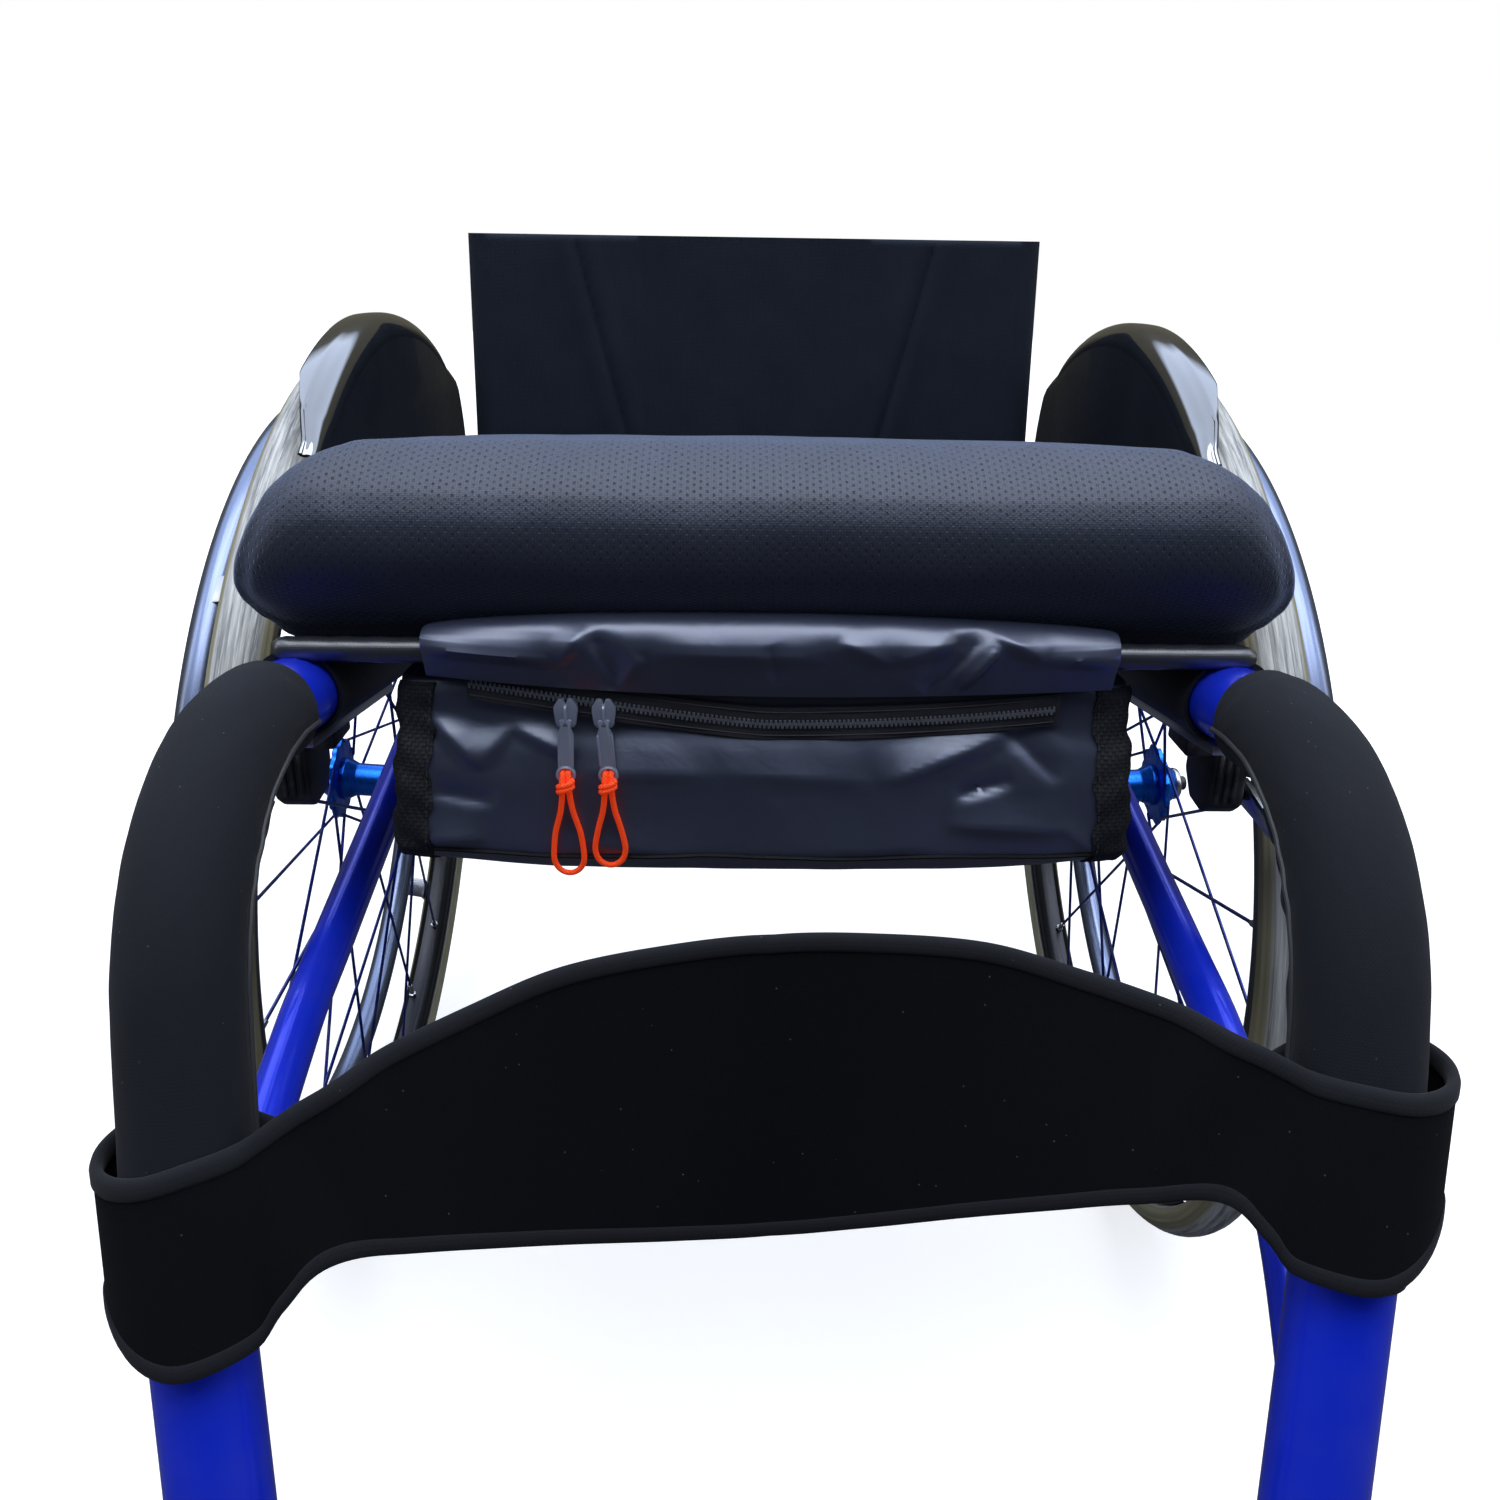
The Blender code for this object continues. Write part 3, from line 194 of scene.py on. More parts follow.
def set_sky():
    """White to look at. What lights and reflects is a sky, bright above and behind, dim in front and low."""
    world = bpy.data.worlds.new("studio")
    bpy.context.scene.world = world
    world.use_nodes = True
    sky = Nodes(world.node_tree)
    way = sky.split(sky.add("TexCoord").outputs["Generated"])
    ramp = sky.add("ValToRGB", {0: way[2]})
    stops = ramp.color_ramp.elements
    stops[0].color = (0.02, 0.02, 0.024, 1)
    stops[1].color = (0.5, 0.57, 0.72, 1)
    for height, colour in ((0.04, (0.12, 0.112, 0.075)), (0.15, (0.17, 0.16, 0.12)),
                           (0.21, (0.78, 0.89, 1.08)), (0.6, (0.6, 0.7, 0.9))):
        stops.new(height).color = (*colour, 1)
    seen = sky.seen()
    glossy = sky.light_path("Glossy")
    level = sky.times(sky.span(way[1], -0.9, -0.2, 0.1, 1.0), sky.line(glossy, 1.7, 0.9))
    low = sky.times(glossy, sky.span(way[2], 0.62, 0.52))
    mirrored = sky.mix(low, ramp.outputs[0], (0.05, 0.047, 0.034))
    shown = sky.tree.nodes["Background"].inputs
    sky.join(sky.mix(seen, mirrored, (1, 1, 1)), shown["Color"])
    sky.join(sky.add("Mix", {0: seen, 2: level, 3: 1.0}).outputs[0], shown["Strength"])


def set_light():
    """Strong soft light from straight above, a little from both sides, on a white floor."""
    lamp("overhead", (0.05, -0.45, 2.3), (0, -0.15, 0.4), (2.2, 1.9), 42, (0.93, 0.96, 1))
    lamp("from_left", (2.2, -0.5, 1.5), (0, 0, 0.4), (0.6, 1.6), 6)
    lamp("from_right", (-2.2, -0.6, 1.6), (0, 0, 0.4), (0.6, 1.6), 6)
    set_sky()
    bpy.ops.mesh.primitive_plane_add(size=14, location=(0, 2, -0.5 * MM))
    floor = bpy.context.object
    floor.name = "floor"
    white = Finish("floor_white", (0.9, 0.9, 0.9), 0.9, Specular_IOR_Level=0, Emission_Color=(1, 1, 1, 1))
    seen = white.seen()
    middle = {0: white.object_place(), 1: (0, -2, 0)}
    away = white.add("VectorMath", middle, operation="DISTANCE").outputs["Value"]
    white.feed(Base_Color=white.mix(seen, (0.09, 0.09, 0.1), (0.75, 0.75, 0.75)),
               Emission_Strength=white.times(seen, white.span(away, 0.9, 1.8, 0.62, 1.0)))
    floor.data.materials.append(white.material)
    bpy.context.scene.view_settings.view_transform = "Standard"


# Shared effects

def mottle_effect():
    """Colour that is lighter and darker in clouds."""
    made = Effect("mottle", ("Colour", "Value"), Colour=None, Scale=30.0, Amount=0.2)
    given = made.given
    cloud = made.noise(given["Vector"], given["Scale"], 5.0)
    factor = made.line(made.line(cloud, 2.0, -1.0), given["Amount"], 1.0)
    grey = made.add("CombineColor", {0: factor, 1: factor, 2: factor}).outputs[0]
    return made.ends_in(Colour=made.mix(1.0, given["Colour"], grey, "MULTIPLY"), Value=cloud)


def grain_effect():
    """Fine moulded or sprayed grain as a height."""
    made = Effect("grain", ("Height",), Scale=1500.0, Soft=0.5)
    place, scale, soft, _ = made.given
    cells = made.add("TexVoronoi", {"Vector": place, "Scale": scale}).outputs[0]
    height = made.add("Mix", {0: soft, 2: cells, 3: made.noise(place, scale, 2.0)}).outputs[0]
    return made.ends_in(Height=height)


def wear_effect():
    """Mask of rubbed edges, broken up by clouds."""
    made = Effect("wear", ("Mask",), Amount=0.5, Scale=60.0)
    place, amount, scale, _ = made.given
    edge = made.span(made.add("NewGeometry").outputs["Pointiness"], 0.52, 0.6)
    broken = made.span(made.noise(place, scale, 6.0), 0.45, 0.65)
    return made.ends_in(Mask=made.times(made.times(edge, broken), amount))


def dust_effect():
    """Mask of dust, which settles on what faces up."""
    made = Effect("dust", ("Mask",), Amount=0.3)
    place, amount, _ = made.given
    lies = made.span(made.split(made.add("NewGeometry").outputs["Normal"])[2], -0.2, 1.0)
    spots = made.span(made.noise(place, 25.0, 8.0), 0.4, 0.75)
    return made.ends_in(Mask=made.times(made.times(lies, spots), amount))


def weave_effect():
    """Plain weave on cloth coordinates in metres: warp and weft take turns on top."""
    made = Effect("weave", ("Height",), Pitch=0.8 * MM)
    place = made.split(made.given["Vector"])
    turn = made.maths("DIVIDE", pi, made.given["Pitch"])
    across, along = (made.maths("SINE", made.times(place[i], turn)) for i in (0, 1))
    warp_up = made.maths("GREATER_THAN", made.times(across, along), 0.0)
    warp, weft = (made.maths("ABSOLUTE", wave) for wave in (across, along))
    return made.ends_in(Height=made.add("Mix", {0: warp_up, 2: weft, 3: warp}).outputs[0])


def holes_effect():
    """Staggered upright holes of the cushion's spacer fabric, 1 inside a hole."""
    made = Effect("holes", ("Hole",), Across=2.7 * MM, Along=4.7 * MM)
    place = made.split(made.given["Vector"])
    column = made.maths("DIVIDE", place[0], made.given["Across"])
    odd = made.maths("ABSOLUTE", made.maths("MODULO", made.maths("FLOOR", column), 2.0))
    row = made.maths("ADD", made.maths("DIVIDE", place[1], made.given["Along"]), made.times(odd, 0.5))
    wide, high = (made.times(made.maths("SUBTRACT", made.maths("FRACT", part), 0.5), steep)
                  for part, steep in ((column, 3.5), (row, 3.4)))
    reach = made.maths("ADD", made.times(wide, wide), made.times(high, high))
    hole = made.span(reach, 0.75, 0.25, interpolation_type="SMOOTHSTEP")
    cell = made.add("CombineXYZ", {0: made.maths("FLOOR", column), 1: made.maths("FLOOR", row)}).outputs[0]
    odds = made.add("TexWhiteNoise", {0: cell}).outputs[0]
    return made.ends_in(Hole=made.times(hole, made.line(odds, 0.6, 0.4)))


def turning_effect():
    """A turned piece's own coordinates: along its axle, radius, and clouds stretched round it."""
    made = Effect("turning", ("Along", "Radius", "Streak"), Fine=900.0, Round=8.0)
    x, y, z = made.split(made.given["Vector"])
    radius = made.maths("SQRT", made.maths("ADD", made.times(y, y), made.times(z, z)))
    slow = made.times(made.maths("DIVIDE", y, radius), made.given["Round"])
    deep = made.times(made.maths("ADD", radius, made.times(z, 0.02)), made.given["Fine"])
    spot = made.add("CombineXYZ", {0: made.times(x, made.given["Fine"]), 1: deep, 2: slow}).outputs[0]
    return made.ends_in(Along=x, Radius=radius, Streak=made.noise(spot, 1.0, 4.0))


MOTTLE = mottle_effect()
GRAIN = grain_effect()
WEAR = wear_effect()
DUST = dust_effect()
WEAVE = weave_effect()
HOLES = holes_effect()
TURNING = turning_effect()


# Finishes

def shade(colour, level):
    return tuple(c * level for c in colour)


def painted(name, colour, roughness, metallic, peel, worn, bounce_level=1.0, **sockets):
    """Sprayed or anodised metal with orange peel, rubbed edges and dust. Below a bounce level of 1, diffuse
    rays see its colour darkened by that level: painted shade in the coloured light it throws on its neighbours.
    """
    made = Finish(name, colour, roughness, metallic, **sockets)
    place = made.object_place()
    clouds = made.use(MOTTLE, place, Colour=(*colour, 1), Scale=22.0, Amount=0.18)
    bare = made.mix(made.use(WEAR, place, Amount=worn)["Mask"], clouds["Colour"], (0.4, 0.4, 0.42))
    shown = made.mix(made.use(DUST, place, Amount=0.06)["Mask"], bare, (0.3, 0.29, 0.27))
    # Painted shade in bounce light: below a level of 1, diffuse rays see the colour darkened by that level, so
    # the piece throws less of its colour on its neighbours.
    if bounce_level < 1:
        shown = made.mix(made.light_path("Diffuse"), shown, shade(colour, bounce_level))
    grain = made.use(GRAIN, place, Scale=peel, Soft=0.8)["Height"]
    return made.wears(0.06, 0.35, grain, Base_Color=shown,
                      Roughness=made.line(clouds["Value"], 0.12, roughness - 0.06))


def turned_metal(name, colour, roughness, metallic=1.0, fine=1800.0, **sockets):
    """Metal with hairlines that run round the wheel."""
    made = Finish(name, colour, roughness, metallic, **sockets)
    streak = made.use(TURNING, made.wheel_place(), Fine=fine, Round=5.0)["Streak"]
    line = made.span(streak, 0.3, 0.7)
    return made.wears(0.03, 0.25, streak, Base_Color=made.mix(line, shade(colour, 0.86), colour),
                      Roughness=made.line(line, -0.14, roughness + 0.07))


def woven(name, dark, light, roughness, pitch, depth, **sockets):
    """Woven cloth on its own cloth coordinates, with painted shade in the weave: a darkened copy of the colour
    in the hollows between threads, the lighter colour on their crowns.
    """
    made = Finish(name, dark, roughness, **sockets)
    threads = made.use(WEAVE, made.cloth_place(), Pitch=pitch * MM)["Height"]
    # Painted shade and light: the hollows of the weave take a darkened copy of the colour, the crowns of the
    # threads the lighter one.
    base = made.mix(threads, shade(dark, 0.55), light)
    clouds = made.use(MOTTLE, made.object_place(), Colour=base, Scale=35.0, Amount=0.22)["Colour"]
    dusty = made.use(DUST, made.object_place(), Amount=0.05)["Mask"]
    return made.wears(depth, 0.6, threads, Base_Color=made.mix(dusty, clouds, (0.2, 0.2, 0.21)))


def tyre_rubber():
    """Pale worn tread with streaks round the wheel, and olive side walls."""
    made = Finish("tyre_rubber", (0.4, 0.4, 0.38), 0.72, Specular_IOR_Level=0.3)
    place = made.wheel_place()
    round_it = made.use(TURNING, place, Fine=420.0, Round=9.0)
    fine = made.use(TURNING, place, Fine=1900.0, Round=30.0)["Streak"]
    tread = made.mix(made.span(round_it["Streak"], 0.38, 0.66), (0.26, 0.27, 0.28), (0.7, 0.71, 0.7))
    scuffed = made.mix(made.span(fine, 0.5, 0.75), tread, (0.8, 0.81, 0.8))
    wall = made.mix(round_it["Streak"], (0.24, 0.22, 0.13), (0.4, 0.37, 0.25))
    out = made.maths("ABSOLUTE", round_it["Along"])
    side = made.span(out, 9.5 * MM, 12.5 * MM, interpolation_type="SMOOTHSTEP")
    grain = made.use(GRAIN, place, Scale=700.0, Soft=0.4)["Height"]
    return made.wears(0.15, 0.5, grain, Base_Color=made.mix(side, scuffed, wall))


def castor_rubber():
    """Dark castor tyre with a dusty tread."""
    colour = (0.03, 0.03, 0.032)
    made = Finish("castor_rubber", colour, 0.6)
    place = made.wheel_place()
    round_it = made.use(TURNING, place, Fine=600.0, Round=12.0)
    tread = made.maths("GREATER_THAN", round_it["Radius"], 46 * MM)
    dusty = made.times(tread, made.times(round_it["Streak"], 0.5))
    clouds = made.use(MOTTLE, place, Colour=(*colour, 1), Scale=60.0)["Colour"]
    grain = made.use(GRAIN, place, Scale=1300.0)["Height"]
    return made.wears(0.1, 0.4, grain, Base_Color=made.mix(dusty, clouds, (0.24, 0.23, 0.21)))


def cushion_fabric():
    """Dark navy spacer fabric with rows of small upright holes over a fine knit. The knit is painted darker in
    its hollows and lighter on its tops, and the holes are painted dark for the shade inside them.
    """
    made = Finish("cushion_fabric", (0.06, 0.072, 0.115), 0.62, Sheen_Weight=0.85, Sheen_Roughness=0.3,
                  Sheen_Tint=(0.5, 0.62, 0.95, 1), Specular_IOR_Level=0.45)
    hole = made.use(HOLES, made.cloth_place())["Hole"]
    knit = made.use(WEAVE, made.cloth_place(), Pitch=1.1 * MM)["Height"]
    # Painted shade and light: a darker and a lighter copy of the navy follow the height of the knit.
    thread = made.mix(knit, (0.018, 0.023, 0.04), (0.038, 0.047, 0.076))
    clouds = made.use(MOTTLE, made.object_place(), Colour=thread, Scale=28.0, Amount=0.2)["Colour"]
    # Painted shade: the holes darken the colour towards near black, for the shade inside them.
    return made.wears(0.5, 0.6, made.maths("SUBTRACT", made.times(knit, 0.22), hole),
                      Base_Color=made.mix(made.times(hole, 0.75), clouds, (0.012, 0.014, 0.024)),
                      Roughness=made.line(hole, 0.3, 0.5))


def pouch_nylon():
    """Coated blue-grey nylon: a fine ripstop under a satin coating, its threads painted darker in the hollows
    of the weave and lighter on their tops.
    """
    made = Finish("pouch_nylon", (0.05, 0.06, 0.11), 0.36,
                  Specular_IOR_Level=1.0, Specular_Tint=(0.7, 0.78, 1, 1),
                  Coat_Weight=0.6, Coat_Roughness=0.34, Coat_IOR=1.9, Coat_Tint=(0.8, 0.86, 1, 1))
    threads = made.use(WEAVE, made.cloth_place(), Pitch=0.45 * MM)["Height"]
    # Painted shade and light: a darker and a lighter copy of the blue-grey follow the height of the threads.
    base = made.mix(threads, (0.034, 0.039, 0.06), (0.052, 0.059, 0.092))
    clouds = made.use(MOTTLE, made.object_place(), Colour=base, Scale=24.0, Amount=0.25)
    crease = made.noise(made.object_place(), 55.0, 3.0, 1.2)
    return made.wears(1.6, 0.35, made.maths("ADD", crease, made.times(threads, 0.05)),
                      Base_Color=clouds["Colour"], Roughness=made.line(clouds["Value"], 0.16, 0.26))


def guard_gloss():
    """Glossy black moulded guard with a faint ripple and fine scratches, most polished where it faces up."""
    colour = (0.006, 0.008, 0.013)
    made = Finish("guard_gloss", colour, 0.22, Specular_IOR_Level=0.16, Coat_Roughness=0.05, Coat_IOR=2.9)
    place = made.object_place()
    clouds = made.use(MOTTLE, place, Colour=(*colour, 1), Scale=14.0)
    dusty = made.use(DUST, place, Amount=0.04)["Mask"]
    polished = made.span(made.split(made.add("NewGeometry").outputs["Normal"])[2], 0.16, 0.5)
    fine = made.noise(place, 160.0, 4.0, 0.6)
    return made.wears(0.3, 0.15, clouds["Value"], Coat_Weight=polished,
                      Base_Color=made.mix(dusty, clouds["Colour"], (0.25, 0.25, 0.25)),
                      Roughness=made.line(fine, 0.14, made.line(polished, -0.26, 0.4)))


def neoprene(name, colour, sheen, shine):
    """Foam sheet faced with fine jersey, its loops painted darker in their hollows and lighter on their tops.
    """
    made = Finish(name, colour, 0.85, Sheen_Weight=sheen, Sheen_Roughness=0.5, Specular_IOR_Level=shine)
    loops = made.use(WEAVE, made.cloth_place(), Pitch=0.7 * MM)["Height"]
    # Painted shade and light: lit and shaded copies of the colour follow the height of the loops.
    base = made.mix(loops, shade(colour, 0.7), shade(colour, 1.25))
    place = made.object_place()
    clouds = made.use(MOTTLE, place, Colour=base, Scale=18.0, Amount=0.2)["Colour"]
    lint = made.add("TexVoronoi", {"Vector": place, "Scale": 140.0}).outputs[0]
    speck = made.times(made.span(lint, 0.05, 0.03), 0.35)
    return made.wears(0.12, 0.4, loops, Base_Color=made.mix(speck, clouds, (0.2, 0.2, 0.22)))


def plastic(name, colour, roughness):
    """Moulded plastic with a fine grain."""
    made = Finish(name, colour, roughness, Specular_IOR_Level=0.45)
    place = made.object_place()
    clouds = made.use(MOTTLE, place, Colour=(*colour, 1), Scale=40.0, Amount=0.2)["Colour"]
    rubbed = made.use(WEAR, place, Amount=0.3)["Mask"]
    grain = made.use(GRAIN, place, Scale=1100.0, Soft=0.3)["Height"]
    return made.wears(0.09, 0.5, grain, Base_Color=made.mix(rubbed, clouds, (0.1, 0.1, 0.11)))


def cord_yarn():
    """Braided cord: two rows of slanted strands across it, painted darker in the grooves between strands and
    lighter on their tops, with a faint painted orange glow.
    """
    # Painted light: a faint orange emission makes the cord glow though it is no lamp.
    made = Finish("cord_yarn", (1.0, 0.08, 0.01), 0.6, Emission_Strength=0.3,
                  Emission_Color=(1.0, 0.05, 0.0, 1))
    x, _, z = made.split(made.object_place())
    strands = (made.maths("SINE", made.times(made.maths(way, z, made.times(x, 0.9)), 4200.0))
               for way in ("ADD", "SUBTRACT"))
    height = made.maths("MAXIMUM", *strands)
    # Painted shade and light: the colour runs from a dark orange in the grooves to a light orange on the
    # strands' tops.
    painted_strand_shade = made.span(height, -0.4, 1.0)
    colour = made.mix(painted_strand_shade, (0.75, 0.03, 0.004), (1.0, 0.11, 0.015))
    return made.wears(0.2, 0.6, height, Base_Color=colour)


# The blue frame throws a tenth of its colour as bounce light: painted shade that only diffuse rays see.
FRAME_BLUE = painted("frame_blue_paint", (0.008, 0.036, 0.85), 0.24, 0.25, 420.0, 0.1, 0.1,
                     Coat_Weight=0.4, Coat_Roughness=0.05, Specular_IOR_Level=0.3)
BLACK_COAT = painted("black_powder_coat", (0.014, 0.014, 0.016), 0.5, 0.0, 1600.0, 0.35)
RAW_STEEL = painted("bright_steel", (0.55, 0.56, 0.58), 0.32, 1.0, 900.0, 0.0)
HUB_BLUE = turned_metal("hub_anodised_blue", (0.004, 0.17, 0.88), 0.26, 0.7, 4200.0)
SPOKE_BLUE = painted("spoke_blue", (0.012, 0.03, 0.3), 0.35, 0.7, 900.0, 0.2)
RIM_BLACK = turned_metal("rim_anodised_black", (0.03, 0.031, 0.036), 0.32, 0.8)
HANDRIM_GREY = turned_metal("handrim_anodised_grey", (0.2, 0.24, 0.36), 0.3, 0.9)
TURNED_STEEL = turned_metal("turned_steel", (0.6, 0.61, 0.63), 0.25)
TYRE = tyre_rubber()
CASTOR_RUBBER = castor_rubber()
CUSHION_FABRIC = cushion_fabric()
POUCH = pouch_nylon()
GUARD = guard_gloss()
BACK_CLOTH = woven("back_cloth", (0.006, 0.009, 0.017), (0.012, 0.018, 0.033), 0.8, 0.9, 0.25,
                   Sheen_Weight=0.03, Specular_IOR_Level=0.12)
HEM_CLOTH = woven("hem_cloth", (0.016, 0.019, 0.026), (0.03, 0.034, 0.045), 0.3, 0.9, 0.1,
                  Coat_Weight=0.7, Coat_Roughness=0.3, Coat_IOR=1.9)
SEAT_CLOTH = woven("seat_cloth", (0.01, 0.011, 0.014), (0.02, 0.021, 0.026), 0.5, 0.9, 0.2,
                   Specular_IOR_Level=0.5)
WEBBING = woven("webbing", (0.008, 0.008, 0.01), (0.02, 0.021, 0.025), 0.7, 1.6, 0.35, Specular_IOR_Level=0.3)
ZIP_TAPE = woven("zip_tape_cloth", (0.014, 0.0145, 0.018), (0.034, 0.036, 0.043), 0.55, 0.7, 0.2)
PIPING = woven("piping", (0.05, 0.053, 0.06), (0.12, 0.125, 0.14), 0.6, 0.6, 0.2)
STRAP_FOAM = neoprene("strap_neoprene", (0.0028, 0.003, 0.0042), 0.01, 0.1)
STRAP_EDGE = neoprene("strap_binding", (0.007, 0.008, 0.011), 0.06, 0.2)
SLEEVE_FOAM = neoprene("sleeve_neoprene", (0.008, 0.0095, 0.014), 0.04, 0.18)
BLACK_PLASTIC = plastic("moulded_black", (0.014, 0.014, 0.016), 0.45)
STITCH = plastic("stitch_thread", (0.03, 0.032, 0.04), 0.6)
ZIP_TEETH = plastic("zip_moulded_teeth", (0.16, 0.17, 0.2), 0.3)
ZIP_METAL = painted("zip_cast_metal", (0.36, 0.4, 0.52), 0.36, 0.4, 700.0, 0.0)
CORD = cord_yarn()


# Modelling helpers

def alone(obj):
    """Selects this object and nothing else."""
    bpy.ops.object.select_all(action="DESELECT")
    obj.select_set(True)
    bpy.context.view_layer.objects.active = obj


def edit(obj, select="SELECT"):
    alone(obj)
    bpy.ops.object.mode_set(mode="EDIT")
    bpy.ops.mesh.select_mode(type="VERT")
    bpy.ops.mesh.select_all(action=select)


def leave(outwards=False):
    """Back to object mode, with the faces turned outwards on request."""
    if outwards:
        bpy.ops.mesh.select_all(action="SELECT")
        bpy.ops.mesh.normals_make_consistent(inside=False)
    bpy.ops.object.mode_set(mode="OBJECT")


def drawn(points):
    """A row of edges, pulled from one vertex to the next. It stays in edit mode."""
    bpy.ops.object.select_all(action="DESELECT")
    bpy.ops.mesh.primitive_plane_add(size=MM)
    obj = bpy.context.object
    edit(obj)
    bpy.ops.mesh.merge(type="CENTER")
    points = [Vector(p) * MM for p in points]
    bpy.ops.transform.translate(value=points[0])
    for before, after in zip(points, points[1:]):
        bpy.ops.mesh.extrude_region_move(TRANSFORM_OT_translate={"value": after - before})
    bpy.ops.mesh.select_all(action="SELECT")
    return obj


def turned(profile, steps=64, place=None):
    """A closed profile of (along X, radius) points turned about the X axis."""
    line = [(x, 0, r) for x, r in profile]
    obj = drawn(line + line[:1])
    bpy.ops.mesh.spin(steps=steps, angle=2 * pi, center=(0, 0, 0), axis=(1, 0, 0))
    bpy.ops.mesh.select_all(action="SELECT")
    bpy.ops.mesh.remove_doubles(threshold=0.01 * MM)
    leave(outwards=True)
    if place is not None:
        obj.data.transform(place)
    return obj


def prism(outline, depth):
    """A flat outline filled, and pulled by a depth."""
    obj = drawn(outline)
    bpy.ops.mesh.edge_face_add()
    bpy.ops.mesh.extrude_region_move(TRANSFORM_OT_translate={"value": Vector(depth) * MM})
    leave(outwards=True)
    return obj


def plate(outline, x0, x1, side=1):
    """A side view outline of (y, z) points, filled and pulled from x0 to x1."""
    return prism([(side * x0, y, z) for y, z in outline], (side * (x1 - x0), 0, 0))


def finish_modifier(obj, kind, **settings):
    """Adds one modifier and applies it."""
    alone(obj)
    made = obj.modifiers.new(kind.lower(), kind)
    for key, value in settings.items():
        setattr(made, key, value)
    bpy.ops.object.modifier_apply(modifier=made.name)
    return obj


def softened(obj, width, segments=2, angle=35):
    """Rounds the sharp edges."""
    return finish_modifier(obj, "BEVEL", width=width * MM, segments=segments, limit_method="ANGLE",
                           angle_limit=radians(angle))


def curve_along(path, radii):
    """A round curve along a path, as thick as the largest radius, with the others in its points."""
    bpy.ops.object.select_all(action="DESELECT")
    bpy.ops.curve.primitive_nurbs_path_add()
    line = bpy.context.object.data
    line.dimensions = "3D"
    line.splines.clear()
    spline = line.splines.new("POLY")
    spline.points.add(len(path) - 1)
    for spot, point, wide in zip(spline.points, path, radii):
        spot.co = (*Vector(point) * MM, 1)
        spot.radius = wide / max(radii)
    line.bevel_depth = max(radii) * MM
    line.use_fill_caps = True
    return bpy.context.object


def swept(path, radius, sides=24, closed=False):
    """A tube along a path, with one radius or one for each point."""
    obj = curve_along(path, radius if isinstance(radius, (list, tuple)) else [radius] * len(path))
    obj.data.splines[0].use_cyclic_u = closed
    obj.data.bevel_resolution = max(1, sides // 4 - 1)
    bpy.ops.object.convert(target="MESH")
    edit(obj)
    bpy.ops.mesh.remove_doubles(threshold=0.01 * MM)
    leave(outwards=True)
    return obj


def rod(start, end, radius, sides=32):
    """A round bar between two points, with its ends softened."""
    start, end = Vector(start) * MM, Vector(end) * MM
    along = end - start
    bpy.ops.object.select_all(action="DESELECT")
    bpy.ops.mesh.primitive_cylinder_add(vertices=sides, radius=radius * MM, depth=along.length,
                                        location=(start + end) / 2,
                                        rotation=along.to_track_quat("Z", "X").to_euler())
    bpy.ops.object.transform_apply()
    return softened(bpy.context.object, min(radius, along.length / MM) * 0.12)


def joined(pieces):
    """Several meshes as one object."""
    alone(pieces[0])
    for piece in pieces:
        piece.select_set(True)
    if len(pieces) > 1:
        bpy.ops.object.join()
    return pieces[0]


def copied(obj, places):
    """Copies of one modelled shape, each with its own mesh, at the given matrices."""
    made = []
    for place in places:
        twin = obj.copy()
        twin.data = obj.data.copy()
        bpy.context.scene.collection.objects.link(twin)
        twin.data.transform(place)
        made.append(twin)
    bpy.data.objects.remove(obj)
    return made


def cut_with(obj, *cutters):
    for cutter in cutters:
        finish_modifier(obj, "BOOLEAN", operation="DIFFERENCE", object=cutter, solver="EXACT")
        bpy.data.objects.remove(cutter)
    return obj


def smooth_line(points, between=6):
    """A smooth curve through the given points, or through rows of more numbers."""
    points = [Vector(p) for p in points]
    row = [points[0] * 2 - points[1]] + points + [points[-1] * 2 - points[-2]]
    found = []
    for a, b, c, d in zip(row, row[1:], row[2:], row[3:]):
        for i in range(between):
            t = i / between
            found.append(0.5 * (2 * b + (c - a) * t + (2 * a - 5 * b + 4 * c - d) * t * t +
                                (3 * b - 3 * c + d - a) * t ** 3))
    return found + [points[-1]]


def arc(radius, first, last, count, centre=(0, 0)):
    """Points (a, b) of an arc, with angles in degrees."""
    turns = (radians(first + (last - first) * i / count) for i in range(count + 1))
    return [(centre[0] + radius * cos(t), centre[1] + radius * sin(t)) for t in turns]


def clamp(value):
    return max(0.0, min(1.0, value))


def bell(off, width):
    """A smooth hump of height 1 at 0."""
    return exp(-(off / width) ** 2)


def add_cloth_map(obj, rule):
    """Cloth coordinates in metres from a rule that takes a point and gives two millimetres."""
    while obj.data.uv_layers:
        obj.data.uv_layers.remove(obj.data.uv_layers[0])
    layer = obj.data.uv_layers.new(name="cloth")
    for corner, loop in zip(layer.data, obj.data.loops):
        corner.uv = Vector(rule(obj.data.vertices[loop.vertex_index].co)) * MM


def cut_cloth(size, cells, rule):
    """A flat cut of cloth laid in place by a rule of how far across and along it is, from 0 to 1."""
    bpy.ops.object.select_all(action="DESELECT")
    bpy.ops.mesh.primitive_grid_add(x_subdivisions=cells[0], y_subdivisions=cells[1], size=1)
    obj = bpy.context.object
    add_cloth_map(obj, lambda spot: ((spot.x + 0.5) * size[0], (spot.y + 0.5) * size[1]))
    for spot in obj.data.vertices:
        spot.co = rule(spot.co.x + 0.5, spot.co.y + 0.5) * MM
    return obj


